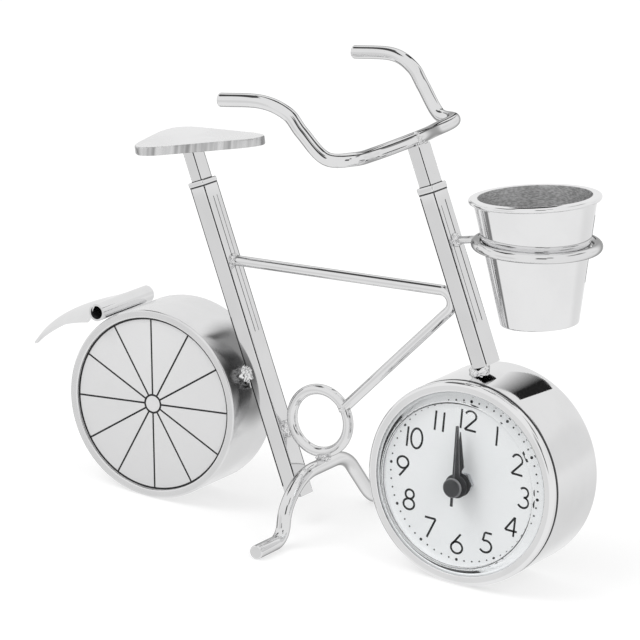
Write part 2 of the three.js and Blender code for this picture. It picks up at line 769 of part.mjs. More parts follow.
function handParts() {
  const hourOutline = [[1, 0], [0.7, 4.6], [1.6, 6], [0.15, hourLength]];
  const minuteOutline = [[1.4, 0], [0.35, minuteLength]];
  const secondOutline = [[0.35, -secondTail], [0.35, 0], [0.28, secondLength]];
  const cap = discOf(capRadius, secondFront - capThickness, secondFront + handThickness, 20);
  return [
    mesh("hour_hand", hand(hourOutline, cannonPipe + running, hourFront, hourRest), handBlack),
    mesh("minute_hand", hand(minuteOutline, secondShaft + running, minuteFront, minuteRest), handBlack),
    mesh("second_hand", join(blade(secondOutline, secondFront).rotateY(secondRest), cap), handBlack),
  ];
}

// Movement: layers of wheels between a front plate and a rear case

const layerPitch = layerThickness + 2 * running;
const layer = (k) => plateBack + running + k * layerPitch;
const layerEnd = (k) => layer(k) + layerThickness;
const magnetFront = layerEnd(5) + running;
const caseInside = magnetFront + magnetLength + running;
const caseBack = caseInside + movementWall;
const polar = (distance, angle) => [distance * Math.cos(angle), distance * Math.sin(angle)];
const motionRadius = cannonRadius * motionRatio;
const hourRadius = motionPinion * hourRatio;
const middleRadius = rotorPinion * middleRatio;
const secondRadius = middlePinion * secondRatio;
const thirdRadius = secondPinion * thirdRatio;
const centreRadius = thirdPinion * centreRatio;
const motionApart = Math.max(cannonRadius + motionRadius, motionPinion + hourRadius) + running;
const thirdApart = Math.max(centreRadius + thirdPinion, secondPinion + thirdRadius) + running;
const [motionX, motionZ] = polar(motionApart, motionAngle);
const [thirdX, thirdZ] = polar(thirdApart, thirdAngle);
const [middleX, middleZ] = polar(secondRadius + middlePinion + running, middleAngle);
const [stepX, stepZ] = polar(middleRadius + rotorPinion + running, rotorAngle);
const rotorX = middleX + stepX;
const rotorZ = middleZ + stepZ;

const wheelAt = (k, radius) => slab(gearShape(radius, wheelTeeth), layer(k), layerEnd(k));
const pinionFrom = (radius, front, back) => slab(gearShape(radius, pinionTeeth, pinionDepth), front, back);
const pinionAhead = (k, radius) => pinionFrom(radius, layer(k), layer(k + 1) + overlap);
const arbor = () => pin(arborRadius, plateBack + running, caseInside - running);

function placed(name, x, z, geometry, material) {
  const piece = mesh(name, geometry, material);
  piece.position.set(x, 0, z);
  return piece;
}

function trainParts() {
  const hourWheel = cut(
    join(wheelAt(0, hourRadius), pin(hourPipe, hourFront + handThickness + running, layer(0) + overlap, 16)),
    pin(hourBore, hourFront - 1, layerEnd(0) + 1, 16),
  );
  const cannon = cut(
    join(
      pinionFrom(cannonRadius, layer(1), layerEnd(1)),
      pin(cannonPipe, minuteFront + handThickness + running, layer(1) + overlap, 16),
    ),
    pin(cannonBore, minuteFront - 1, layerEnd(1) + 1, 16),
  );
  const centreWheel = cut(wheelAt(2, centreRadius), pin(cannonBore, layer(2) - 1, layerEnd(2) + 1, 16));
  const secondWheel = join(
    wheelAt(4, secondRadius),
    pinionAhead(3, secondPinion),
    pin(secondShaft, secondFront + handThickness + running, caseInside - running, 16),
  );
  const motionWheel = join(
    wheelAt(1, motionRadius),
    pinionAhead(0, motionPinion),
    pin(arborRadius, plateBack + running, caseBack + running + seat),
  );
  const thirdWheel = join(wheelAt(3, thirdRadius), pinionAhead(2, thirdPinion), arbor());
  const middleWheel = join(wheelAt(5, middleRadius), pinionAhead(4, middlePinion), arbor());
  const rotor = join(
    pinionFrom(rotorPinion, layer(5), magnetFront + overlap),
    discOf(magnetRadius, magnetFront, magnetFront + magnetLength, 24),
    arbor(),
  );
  return [
    placed("hour_wheel", 0, 0, hourWheel, brass),
    placed("cannon_pinion", 0, 0, cannon, brass),
    placed("centre_wheel", 0, 0, centreWheel, brass),
    placed("second_wheel", 0, 0, secondWheel, brass),
    placed("motion_wheel", motionX, motionZ, motionWheel, brass),
    placed("third_wheel", thirdX, thirdZ, thirdWheel, brass),
    placed("intermediate_wheel", middleX, middleZ, middleWheel, brass),
    placed("rotor", rotorX, rotorZ, rotor, steel),
  ];
}

function moved(geometry, x, z) {
  return geometry.translate(x, 0, z);
}

function movementParts() {
  const plate = cut(
    discOf(movementRadius, plateFront, plateBack, innerSides),
    pin(hourPipe + running, plateFront - 1, plateBack + 1, 20),
  );
  const doorRadius = cellRadius + doorPlay;
  const housing = cut(
    discOf(movementRadius, plateBack + seat, caseBack, innerSides),
    discOf(movementRadius - movementWall, plateBack - 1, caseInside, innerSides),
    moved(pin(doorRadius + seat, caseInside - 1, caseBack + 1, 28), cellX, cellZ),
    moved(pin(arborRadius + running + seat, caseInside - 1, caseBack + 1), motionX, motionZ),
  );
  const cellBack = caseInside - stripThickness - 2 * running;
  const cellFront = cellBack - cellThickness;
  const stripShape = (half) => new THREE.Shape([
    new THREE.Vector2(cellX - half, cellZ - 1.5), new THREE.Vector2(cellX + half, cellZ - 1.5),
    new THREE.Vector2(cellX + half, cellZ + 1.5), new THREE.Vector2(cellX - half, cellZ + 1.5),
  ]);
  const stripHalf = cellRadius - 0.8;
  const door = join(
    pin(doorRadius, caseInside, caseBack + running + 0.05, 28),
    pin(doorRadius + doorRim, caseBack + running, caseBack + running + doorFlange, 28),
  );
  const knobFront = caseBack + running + seat;
  return [
    mesh("movement_plate", plate, blackPlastic),
    mesh("movement_case", housing, blackPlastic),
    mesh("cell", moved(discOf(cellRadius, cellFront, cellBack, 28), cellX, cellZ), steel),
    mesh("contact_front", slab(stripShape(stripHalf), cellFront - running - stripThickness,
      cellFront - running), brass),
    mesh("contact_door", slab(stripShape(stripHalf), cellBack + running,
      cellBack + running + stripThickness), brass),
    mesh("battery_door", moved(door, cellX, cellZ), blackPlastic),
    placed("set_knob", motionX, motionZ, slab(gearShape(knobRadius, knobTeeth), knobFront + running,
      knobFront + running + knobThickness), blackPlastic),
  ];
}

// Stepping motor: a stator plate round the rotor, joined to the coil's core, and the circuit board

function motorParts() {
  const statorFront = magnetFront + 0.5;
  const statorBack = statorFront + statorThickness;
  const plate = new THREE.Shape();
  const around = magnetRadius + 2.4;
  plate.moveTo(rotorX + around, rotorZ);
  plate.lineTo(rotorX + around, rotorZ + around);
  plate.lineTo(rotorX - around, rotorZ + around);
  plate.lineTo(rotorX - around, rotorZ - around);
  plate.lineTo(-coilLength / 2, coilZ + coilRadius);
  plate.lineTo(-coilLength / 2, coilZ);
  plate.lineTo(coilLength / 2, coilZ);
  plate.lineTo(rotorX, coilZ + coilRadius);
  plate.closePath();
  const stator = cut(
    slab(plate, statorFront, statorBack),
    moved(pin(magnetRadius + seat, statorFront - 1, statorBack + 1, 24), rotorX, rotorZ),
    moved(pin(arborRadius + seat, statorFront - 1, statorBack + 1), middleX, middleZ),
  );
  const coil = new THREE.CylinderGeometry(coilRadius, coilRadius, coilLength, 16);
  coil.rotateZ(Math.PI / 2);
  coil.translate(0, statorFront - running - coilRadius, coilZ);
  const boardBack = caseInside - running;
  const boardShape = new THREE.Shape([
    new THREE.Vector2(boardX - boardWidth, boardZ - boardHeight),
    new THREE.Vector2(boardX - boardCorner, boardZ - boardHeight),
    new THREE.Vector2(boardX, boardZ - boardHeight + 2 * boardCorner),
    new THREE.Vector2(boardX, boardZ),
    new THREE.Vector2(boardX - boardWidth, boardZ),
  ]);
  const board = cut(
    slab(boardShape, boardBack - boardThickness, boardBack),
    moved(pin(arborRadius + seat, boardBack - 2, boardBack + 1), motionX, motionZ),
  );
  return [
    mesh("stator", stator, steel),
    mesh("coil", weld(coil), copper),
    mesh("circuit_board", board, boardGreen),
  ];
}

function screwParts() {
  const head = caseBack + running;
  const reach = movementRadius - movementWall - screwHead;
  return [100, 260].map((degrees, k) => {
    const [x, z] = polar(reach, THREE.MathUtils.degToRad(degrees));
    return mesh(`case_screw_${k + 1}`, moved(discOf(screwHead, head, head + 1, 16), x, z), steel);
  });
}

// Assembly

const frontWheel = new THREE.Group();
frontWheel.position.copy(frontHub);
frontWheel.add(
  ...caseParts(), ...handParts(), ...trainParts(), ...movementParts(), ...motorParts(), ...screwParts(),
);

const bicycle = new THREE.Group();
bicycle.add(
  ...frameParts(), ...rodParts(), ...cupGroup(), mesh("mudguard", mudguard(), chrome),
  rearWheel(), frontWheel,
);

// The origin is under the middle of the whole clock, on the surface that it stands on.
bicycle.updateMatrixWorld(true);
const box = new THREE.Box3().setFromObject(bicycle, true);
const middle = box.getCenter(new THREE.Vector3());
bicycle.position.set(-middle.x, -middle.y, -box.min.z);

const clock = new THREE.Group();
clock.name = "desk_clock";
clock.add(bicycle);

export default clock;
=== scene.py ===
import json
from math import acos, cos, pi, radians, sin, sqrt, tan

import bmesh
import bpy
import numpy as np
from mathutils import Matrix, Vector


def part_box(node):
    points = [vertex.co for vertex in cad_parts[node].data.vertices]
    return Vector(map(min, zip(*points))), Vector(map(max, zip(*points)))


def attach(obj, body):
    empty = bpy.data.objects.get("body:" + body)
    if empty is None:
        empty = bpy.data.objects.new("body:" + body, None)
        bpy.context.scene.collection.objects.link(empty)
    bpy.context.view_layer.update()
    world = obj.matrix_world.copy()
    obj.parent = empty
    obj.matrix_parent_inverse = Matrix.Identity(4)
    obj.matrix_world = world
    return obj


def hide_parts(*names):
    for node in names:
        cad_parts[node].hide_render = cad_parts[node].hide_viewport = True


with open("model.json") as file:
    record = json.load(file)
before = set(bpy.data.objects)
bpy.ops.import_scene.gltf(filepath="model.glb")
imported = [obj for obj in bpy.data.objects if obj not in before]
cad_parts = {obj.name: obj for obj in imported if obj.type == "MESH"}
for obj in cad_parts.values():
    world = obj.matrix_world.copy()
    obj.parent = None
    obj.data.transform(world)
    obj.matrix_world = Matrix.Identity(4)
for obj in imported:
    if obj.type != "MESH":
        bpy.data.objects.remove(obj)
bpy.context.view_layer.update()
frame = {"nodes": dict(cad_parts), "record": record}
print("frame loaded")

# Shapes are worked out in millimetres: x from the rear hub, y from the middle plane, z from the floor.
mm = 0.001
rearLow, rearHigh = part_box("rear_drum")
shift = np.array([(rearLow.x + rearHigh.x) / 2, (rearLow.y + rearHigh.y) / 2, 0.0])

bike = {
    "rearRadius": 32.93, "rearDepth": 26.4, "rearReach": 33.0, "rearGap": 2.7,
    "frontRadius": 34.53, "wheelBase": 121.6, "headOffset": 13.4,
    "lean": radians(25.5), "tubeAlong": 5.2, "tubeAcross": 8.6, "tubeWall": 0.6,
}


def leaning(angle):
    # the up and the ahead direction of a line that leans back
    return np.array([-sin(angle), 0, cos(angle)]), np.array([cos(angle), 0, sin(angle)])


upTube, ahead = leaning(bike["lean"])
across = np.array([0.0, 1.0, 0.0])
halfTube = bike["tubeAlong"] / 2
rearHub = np.array([0, 0, bike["rearRadius"]])
frontHub = np.array([bike["wheelBase"], 0, bike["frontRadius"]])
seatFoot = rearHub + ahead * (bike["rearReach"] + bike["rearGap"] + halfTube)
headFoot = frontHub + ahead * bike["headOffset"]


def onLine(foot, along, out=0.0):
    return foot + along * upTube + out * ahead


# shape helpers


def fullTurn(count):
    return np.linspace(0, 2 * np.pi, count, endpoint=False)


def unit(v):
    return v / np.linalg.norm(v, axis=-1, keepdims=True)


edgePart = 0.45  # the most of an edge that one corner's arc may take


def cornerArcs(points, reach, steps, pull=None):
    # each corner becomes an arc that leaves one edge at the reach and joins the next: a weighted curve of
    # three points, the middle weight being the sine of half the corner's angle unless a pull is given
    p = np.asarray(points, float)
    before, after = np.roll(p, 1, 0) - p, np.roll(p, -1, 0) - p
    lengthBefore = np.linalg.norm(before, axis=1, keepdims=True)
    lengthAfter = np.linalg.norm(after, axis=1, keepdims=True)
    start = p + before / lengthBefore * np.minimum(reach, edgePart * lengthBefore)
    end = p + after / lengthAfter * np.minimum(reach, edgePart * lengthAfter)
    cosine = np.sum(before * after, axis=1, keepdims=True) / lengthBefore / lengthAfter
    weight = pull or np.sqrt((1 - cosine) / 2)[:, None]
    t = np.linspace(0, 1, steps)[None, :, None]
    curve = (1 - t) ** 2 * start[:, None] + 2 * weight * t * (1 - t) * p[:, None] + t ** 2 * end[:, None]
    return curve / ((1 - t) ** 2 + 2 * weight * t * (1 - t) + t ** 2)


def softCorners(points, reach, steps, pull=None):
    return np.concatenate(cornerArcs(points, reach, steps, pull))


def softLine(points, reach, steps):
    # an open line keeps its two ends
    return np.vstack([points[0], *cornerArcs(points, reach, steps)[1:-1], points[-1]])


def throughPoints(points, steps=14):
    # a smooth curve through points: each piece is a cubic set by four neighbours
    p = np.asarray(points, float)
    p = np.vstack([2 * p[0] - p[1], p, 2 * p[-1] - p[-2]])
    a, b, c, d = (p[k:len(p) - 3 + k, None] for k in range(4))
    t = np.linspace(0, 1, steps, endpoint=False)[None, :, None]
    curve = 0.5 * (2 * b + (c - a) * t + (2 * a - 5 * b + 4 * c - d) * t ** 2
                   + (3 * b - a - 3 * c + d) * t ** 3)
    return np.vstack([curve.reshape(-1, p.shape[1]), p[-2:-1]])


def turned(profile, hub, sides=160):
    # a profile of (radius, depth) carried round the line through the hub along y
    p = np.asarray(profile, float)
    angle = fullTurn(sides)
    radius, depth = p[:, :1], p[:, 1:2]
    return np.stack([hub[0] + radius * np.sin(angle), depth + 0 * angle, hub[2] + radius * np.cos(angle)], -1)


def roundRod(path, radius, side, soft, sides=28):
    # a circle carried along a path, closed at both ends with a rounded edge and a flat face
    quarter = np.linspace(0, np.pi / 2, 6)
    capRadius = np.append(0, radius - soft + soft * np.sin(quarter))
    capInset = np.append(0, soft - soft * np.cos(quarter))
    first, last = unit(path[1] - path[0]), unit(path[-2] - path[-1])
    body = path[1:-1]
    tangent = unit(np.gradient(path, axis=0))
    upwards = unit(np.cross(tangent, side))
    sideways = np.cross(upwards, tangent)
    angle = fullTurn(sides)[:, None]

    def rows(centres, k, radii):
        return (centres[:, None] + radii[:, None, None]
                * (np.cos(angle) * sideways[k][..., None, :] + np.sin(angle) * upwards[k][..., None, :]))

    startRows = rows(path[0] + capInset[:, None] * first, np.zeros(len(capInset), int), capRadius)
    endRows = rows(path[-1] + capInset[::-1, None] * last, np.full(len(capInset), -1), capRadius[::-1])
    bodyRows = rows(body, np.arange(1, len(path) - 1), np.full(len(body), radius))
    return np.concatenate([startRows, bodyRows, endRows])


def ringRod(centre, bigRadius, radius, normal, first, around=120, sides=28):
    # a circle of rod round a centre, in the plane across the normal
    a = fullTurn(around)[:, None, None]
    b = fullTurn(sides)[None, :, None]
    out = np.cos(a) * first + np.sin(a) * np.cross(normal, first)
    return centre + out * (bigRadius + radius * np.cos(b)) + normal * radius * np.sin(b)


def roundedBox(wide, deep, corner, steps=5, flat=0.2):
    # four arcs, each with a point on the flat at either side, so that the flats shade flat
    box = np.array([[-wide, -deep], [wide, -deep], [wide, deep], [-wide, deep]]) / 2
    flats = cornerArcs(box, corner + flat, 3)
    return np.concatenate([flats[:, :1], cornerArcs(box, corner, steps), flats[:, 2:]], 1).reshape(-1, 2)


def ribbon(path, sideways, outwards, half, low, high):
    # a thin bar along a path: four corners a row, half a width aside and from low to high outwards
    section = np.array([[-1, low], [-1, high], [1, high], [1, low]])
    return path[:, None] + half * section[:, :1] * sideways + section[:, 1:] * outwards


def drawnShut(rows, ends=None):
    # each end is closed by a row drawn together in one point: the row's middle, unless the points are given
    ends = rows[[0, -1]].mean(1) if ends is None else ends
    first, last = (end + 0 * rows[:1] for end in ends)
    return np.concatenate([first, rows, last])


def addObject(name, data):
    thing = bpy.data.objects.new(name, data)
    bpy.context.scene.collection.objects.link(thing)
    return thing


def makePiece(name, grids, materials, body="frame", nodes=(), slot="chrome", sharp=34):
    # grids become one mesh: points, or (points, material index, closed down, closed across) as far as they differ
    corners, quads, indexes, start = [], [], [], 0
    for grid in grids:
        given = grid if isinstance(grid, tuple) else (grid,)
        points, index, closeDown, closeAcross = given + (0, False, True)[len(given) - 1:]
        ids = np.arange(points.shape[0] * points.shape[1]).reshape(points.shape[:2]) + start
        start += ids.size
        ids = np.vstack([ids, ids[:1]]) if closeDown else ids
        ids = np.hstack([ids, ids[:, :1]]) if closeAcross else ids
        quad = np.stack([ids[:-1, :-1], ids[1:, :-1], ids[1:, 1:], ids[:-1, 1:]], -1).reshape(-1, 4)
        corners.append(points.reshape(-1, 3) * mm + shift)
        quads.append(quad)
        indexes.append(np.full(len(quad), index))
    mesh = bpy.data.meshes.new(name)
    mesh.from_pydata(np.vstack(corners).tolist(), [], np.vstack(quads).tolist())
    mesh.polygons.foreach_set("material_index", np.concatenate(indexes).astype(np.int32))
    work = bmesh.new()
    work.from_mesh(mesh)
    bmesh.ops.remove_doubles(work, verts=work.verts, dist=1e-6)
    bmesh.ops.recalc_face_normals(work, faces=work.faces)
    work.to_mesh(mesh)
    work.free()
    mesh.shade_smooth()
    mesh.set_sharp_from_angle(angle=radians(sharp))
    for material in materials:
        mesh.materials.append(material)
    piece = addObject(name, mesh)
    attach(piece, body)
    if nodes:
        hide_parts(*nodes)


def turnedPiece(name, profile, hub, sides, material, node, closed=True, **kind):
    makePiece(name, [(turned(profile, hub, sides), 0, closed)], [material], nodes=[node], **kind)


# finishes


def feed(tree, node, inputs):
    # each input takes a value or another node's output
    for label, value in inputs.items():
        if isinstance(value, bpy.types.NodeSocket):
            tree.links.new(value, node.inputs[label])
        else:
            node.inputs[label].default_value = value


def addNode(tree, kind, inputs=None, **settings):
    node = tree.nodes.new("ShaderNode" + kind)
    for label, value in settings.items():
        setattr(node, label, value)
    feed(tree, node, inputs or {})
    return node.outputs


def smoothRange(tree, value, start, full):
    # nothing at the start, one at full, with soft ends
    return addNode(tree, "MapRange", {"Value": value, "From Min": start, "From Max": full},
                   interpolation_type="SMOOTHSTEP")["Result"]


def mixed(tree, factor, a, b):
    return addNode(tree, "Mix", {"Factor": factor, "A": a, "B": b}, data_type="RGBA")["Result"]


surfaceValues = {"cloudRange": (0.35, 0.68), "cloudDetail": 4.0, "grainDetail": 2.0, "relief": 0.0002}


def surfaceGroup():
    # slow clouds tint the colour and the gloss, fine grain gives the height; a stretch below one draws them out
    group = bpy.data.node_groups.new("surfaceFinish", "ShaderNodeTree")
    for way, kind, labels in (
            ("INPUT", "Color", ("Tone", "Cloud Tone")), ("INPUT", "Vector", ("Stretch",)),
            ("INPUT", "Float", ("Cloud Scale", "Grain Scale", "Gloss", "Gloss Spread")),
            ("OUTPUT", "Color", ("Color",)), ("OUTPUT", "Float", ("Roughness", "Height"))):
        for label in labels:
            group.interface.new_socket(label, in_out=way, socket_type="NodeSocket" + kind)
    given, result = group.nodes.new("NodeGroupInput").outputs, group.nodes.new("NodeGroupOutput")
    where = addNode(group, "TexCoord")["Object"]
    spot = addNode(group, "VectorMath", {0: where, 1: given["Stretch"]}, operation="MULTIPLY")["Vector"]
    clouds, grain = (
        addNode(group, "TexNoise", {"Vector": spot, "Scale": given[scale], "Detail": surfaceValues[detail]})["Fac"]
        for scale, detail in (("Cloud Scale", "cloudDetail"), ("Grain Scale", "grainDetail")))
    spread = smoothRange(group, clouds, *surfaceValues["cloudRange"])
    rough = addNode(group, "Math", {0: spread, 1: given["Gloss Spread"], 2: given["Gloss"]},
                    operation="MULTIPLY_ADD")["Value"]
    feed(group, result, {"Color": mixed(group, spread, given["Tone"], given["Cloud Tone"]), "Roughness": rough,
                         "Height": grain})
    return group


surfaceFinish = surfaceGroup()


def newMaterial(name):
    material = bpy.data.materials.new(name)
    material.use_nodes = True
    return material, material.node_tree, material.node_tree.nodes["Principled BSDF"]


coolness = 1.005


def opaque(tone):
    # a colour, or one number for a cool grey
    return (*(tone if isinstance(tone, tuple) else (tone, tone, tone * coolness)), 1)


def finish(name, tone, cloudTone, cloudScale, grainScale, gloss, spread, metallic, bump, edge=None,
           paintedShadeSpot=None, stretch=(1, 1, 1), sockets=None):
    material, tree, shader = newMaterial(name)
    surface = addNode(tree, "Group", {
        "Tone": opaque(tone), "Cloud Tone": opaque(cloudTone), "Cloud Scale": cloudScale, "Grain Scale": grainScale,
        "Gloss": gloss, "Gloss Spread": spread, "Stretch": stretch}, node_tree=surfaceFinish)
    relief = addNode(tree, "Bump", {
        "Strength": bump, "Distance": surfaceValues["relief"], "Height": surface["Height"]})
    colour = surface["Color"]
    if paintedShadeSpot:
        # painted shade and reflection: darker round one spot by the weld, standing in for the dark reflection and
        # shade of the seat tube beside it
        where = addNode(tree, "TexCoord")["Object"]
        away = addNode(tree, "VectorMath", {0: where, 1: paintedShadeSpot["at"] * mm + shift}, operation="DISTANCE")
        near = smoothRange(tree, away["Value"], paintedShadeSpot["far"], paintedShadeSpot["near"])
        colour = mixed(tree, near, colour, opaque(paintedShadeSpot["tone"]))
    if edge:
        # painted reflection: darker where the surface turns away from the eye, standing in for the dark rims that
        # polished metal reflects
        facing = addNode(tree, "LayerWeight")["Facing"]
        colour = mixed(tree, smoothRange(tree, facing, edge["from"], edge["to"]), colour, opaque(edge["tone"]))
    feed(tree, shader, {"Base Color": colour, "Roughness": surface["Roughness"], "Normal": relief["Normal"],
                        "Metallic": metallic, **(sockets or {})})
    return material


# cloud scale, grain scale, gloss, gloss spread, metallic, bump
plated = (70, 700, 0.035, 0.03, 1.0, 0.004)
dulled = (70, 700, 0.17, 0.05, 1.0, 0.004)
chrome = finish("brightChrome", 0.84, 0.81, *plated)
rearChrome = finish("rearDrumChrome", 0.84, 0.81, *dulled)
# painted shade and reflection: the rear drum's side darkens round a spot by the seat tube's weld
paintedShadeSide = finish("drumSidePaintedShade", 0.84, 0.81, *dulled,
                  paintedShadeSpot={"at": onLine(seatFoot, 1.5, -8.0), "near": 0.012, "far": 0.0215, "tone": 0.26})
cupChrome = finish("cupChrome", 0.9, 0.87, *plated)
# painted reflection: near-black for the fine dark lines on the tubes, posts and handlebar
reflectionLinePaint = finish("reflectionLinePaint", 0.04, 0.11, 500, 900, 0.3, 0.1, 1.0, 0.05)
# painted reflection: the rods' chrome darkens towards its rims
rodChrome = finish("rodChrome", 0.84, 0.81, *plated, edge={"from": 0.52, "to": 0.84, "tone": 0.05})
satinTop = finish("satinPlate", 0.9, 0.86, 50, 1200, 0.22, 0.08, 1.0, 0.03)
sawnEdge = finish("sawnPlateEdge", 0.76, 0.36, 360, 1900, 0.26, 0.15, 1.0, 0.3, stretch=(1, 1, 0.03))
# painted reflection: the weld metal darkens towards its rims
weldMetal = finish("platedWeld", 0.9, 0.78, 420, 900, 0.06, 0.06, 1.0, 0.08,
                   edge={"from": 0.5, "to": 0.85, "tone": 0.12})
cupInside = finish("speckledCupInside", 0.6, 0.36, 2300, 3600, 0.36, 0.2, 0.9, 0.4,
                   stretch=(0.35, 0.35, 1.3))
spokeFace = finish("paleSpokeFace", 0.8, 0.77, 26, 1500, 0.32, 0.06, 0.0, 0.01)
ink = finish("blackInk", (0.006, 0.006, 0.007), (0.011, 0.011, 0.012), 300, 2500, 0.5, 0.1, 0.0, 0.02)
dialPaint = finish("dialPaint", (0.94, 0.943, 0.948), (0.925, 0.928, 0.934), 40, 2600, 0.5, 0.08, 0.0, 0.01)
handPaint = finish("handPaint", (0.04, 0.04, 0.043), (0.055, 0.055, 0.058), 350, 2200, 0.38, 0.1, 0.0, 0.03)
# painted highlight: a lighter grey for the hands' softened sides and the second hand's cap rim
handPaintedHighlight = finish("handPaintedHighlight", (0.16, 0.16, 0.165), (0.2, 0.2, 0.205), 350, 2200, 0.32, 0.1, 0.0, 0.03)
# black finish for the plastic parts, also used as painted shade in gaps, inside the tubes and inside the mudguard's
# roll
blackPlasticAndShade = finish("mouldedBlackAndPaintedShade", (0.028, 0.028, 0.03), (0.04, 0.04, 0.042), 220, 3200, 0.5, 0.12, 0.0, 0.25)
brass = finish("stampedBrass", (0.72, 0.53, 0.22), (0.6, 0.42, 0.16), 260, 2600, 0.24, 0.12, 1.0, 0.05)
steel = finish("plainSteel", (0.6, 0.61, 0.63), (0.5, 0.51, 0.53), 240, 2400, 0.26, 0.12, 1.0, 0.05)
copper = finish("lacqueredWire", (0.62, 0.27, 0.11), (0.5, 0.2, 0.08), 700, 3000, 0.26, 0.1, 1.0, 0.3)
boardGreen = finish("boardLacquer", (0.03, 0.14, 0.06), (0.05, 0.2, 0.09), 380, 2400, 0.3, 0.12, 0.0, 0.1)


def clearFinish():
    # clear lens: light and shadow pass straight through, the eye sees glass
    material = finish("clearLens", (0.97, 0.985, 0.99), (0.96, 0.98, 0.985), 40, 800, 0.0, 0.015, 0.0, 0.001,
                      sockets={"Transmission Weight": 1.0, "IOR": 1.32, "Specular Tint": (0.3, 0.3, 0.3, 1)})
    tree = material.node_tree
    rays = addNode(tree, "LightPath")
    either = addNode(tree, "Math", {0: rays["Is Shadow Ray"], 1: rays["Is Diffuse Ray"]}, operation="MAXIMUM")
    both = addNode(tree, "MixShader", {
        "Fac": either["Value"], 1: tree.nodes["Principled BSDF"].outputs["BSDF"],
        2: addNode(tree, "BsdfTransparent")["BSDF"]})
    feed(tree, tree.nodes["Material Output"], {"Surface": both["Shader"]})
    return material


clearLens = clearFinish()
print("finishes made")

# CAD nodes that keep their shape get the finish of their slot
slotFinish = {
    "chrome": chrome, "satin_metal": satinTop, "weld_metal": weldMetal, "spoke_face": spokeFace,
    "dial_face": dialPaint, "hand_black": handPaint, "clear_lens": clearLens, "black_plastic": blackPlasticAndShade,
    "gear_brass": brass, "plain_steel": steel, "copper_wire": copper, "board_green": boardGreen,
}
for entry in frame["record"]["subparts"]:
    mesh = frame["nodes"][entry["node"]].data
    mesh.materials.clear()
    mesh.materials.append(slotFinish[entry["material_slot"]])

# camera: the photograph's angle, for a square picture
view = {"azimuth": 28.94, "elevation": 16.58, "roll": 5.0, "distance": 1507.15, "target": (55.27, 0, 72.57),
        "lens": 253.16, "sensor": 36.0, "clip": (0.05, 50)}


def makeCamera():
    turn, rise = radians(view["azimuth"]), radians(view["elevation"])
    back = Vector((sin(turn) * cos(rise), -cos(turn) * cos(rise), sin(rise)))
    target = Vector(view["target"]) * mm + Vector(shift)
    data = bpy.data.cameras.new("photoCamera")
    data.lens, data.sensor_width = view["lens"], view["sensor"]
    data.clip_start, data.clip_end = view["clip"]
    camera = addObject("photoCamera", data)
    look = (-back).to_track_quat("-Z", "Y").to_matrix()
    spin = Matrix.Rotation(radians(view["roll"]), 3, "Z")
    camera.matrix_world = Matrix.Translation(target + back * view["distance"] * mm) @ (look @ spin).to_4x4()
    bpy.context.scene.camera = camera


makeCamera()
print("camera placed")

# frame tubes: a rounded box section carried along a frame line, with a wall and softened ends
tubes = {"corner": 0.75, "leastCorner": 0.12, "edge": 0.25, "seatFootZ": 11.0, "headFootCut": 34.4, "seatTop": 66.4,
         "headTop": 94.0, "wider": 0.8, "deeper": {"seat": 0.2, "head": 0.8}, "endRow": 8.0, "lining": (2.0, 1.0)}
collars = {"height": {"seat": 1.7, "head": 2.2}, "proud": 0.2, "corner": 0.8, "edge": 0.35, "lift": 0.1, "seam": 0.16,
           "lap": 0.1, "under": 0.4, "over": 0.25, "overDeep": 0.4}
posts = {"play": {"seat": 0.3, "head": 0.1}, "corner": 0.6, "saddleRise": 81.9, "barRise": 112.3, "insert": 14.0,
         "saddleGap": 0.3, "barGap": 2.3}
# painted reflections: fine dark lines on the faces and corners that stand in for dark reflections: (along from, along
# to, face, place on it, width)
paintedReflectionLines = {"seat": [(14, 62, "front", -0.8, 0.3), (14, 62, "front", 1.5, 0.2), (-38, 66, "front", 3.9, 0.26),
                      (-41, 66, "corner", 0, 0.42), (-39, 21, "side", -2.5, 0.45), (21, 66, "side", -2.6, 0.16)],
             "head": [(49, 90.5, "front", 0.95, 0.42), (49, 89, "front", -2.5, 0.24), (35, 93.6, "corner", 0, 0.42),
                      (36, 93, "side", -2.6, 0.3)],
             "seatPost": [(68.3, 79, "corner", 0, 0.36), (68.3, 79, "front", 3.1, 0.2)],
             "headPost": [(96.5, 109.3, "corner", 0, 0.36)]}
faceTurn = {"front": 0.0, "corner": pi / 4, "side": pi / 2}
lineDepth = (-0.05, 0.02)


def tubeRows(foot, wide, deep, corner, rows):
    # rows of (distance along for each section point, inset from the outside)
    grid = []
    for along, inset in rows:
        section = roundedBox(wide - 2 * inset, deep - 2 * inset, max(corner - inset, tubes["leastCorner"]))
        distance = along(section[:, 0]) if callable(along) else np.full(len(section), along)
        grid.append(foot + distance[:, None] * upTube + section[:, :1] * ahead + section[:, 1:] * across)
    return np.array(grid)


def softEnd(end, edge, inwards):
    # rows that round an end off: inset by the edge at the end, and flush an edge further in
    return [(end + inwards * step * edge, inset * edge) for step, inset in ((0, 1), (0.3, 0.3), (1, 0))][::inwards]


def makeFaceLines(name, foot, wide, deep, corner):
    lines, chop = [], corner * (1 - cos(pi / 4))
    for low, high, face, place, width in paintedReflectionLines[name]:
        out, aside = {"front": (wide / 2, place), "corner": (wide / 2 - chop, chop - deep / 2),
                      "side": (place, -deep / 2)}[face]
        cosine, sine = cos(faceTurn[face]), sin(faceTurn[face])
        outwards, sideways = cosine * ahead - sine * across, sine * ahead + cosine * across
        path = foot + np.linspace(low, high, 4)[:, None] * upTube + out * ahead + aside * across
        lines.append(drawnShut(ribbon(path, sideways, outwards, width / 2, *lineDepth)))
    makePiece(name + "PaintedReflectionLines", lines, [reflectionLinePaint])


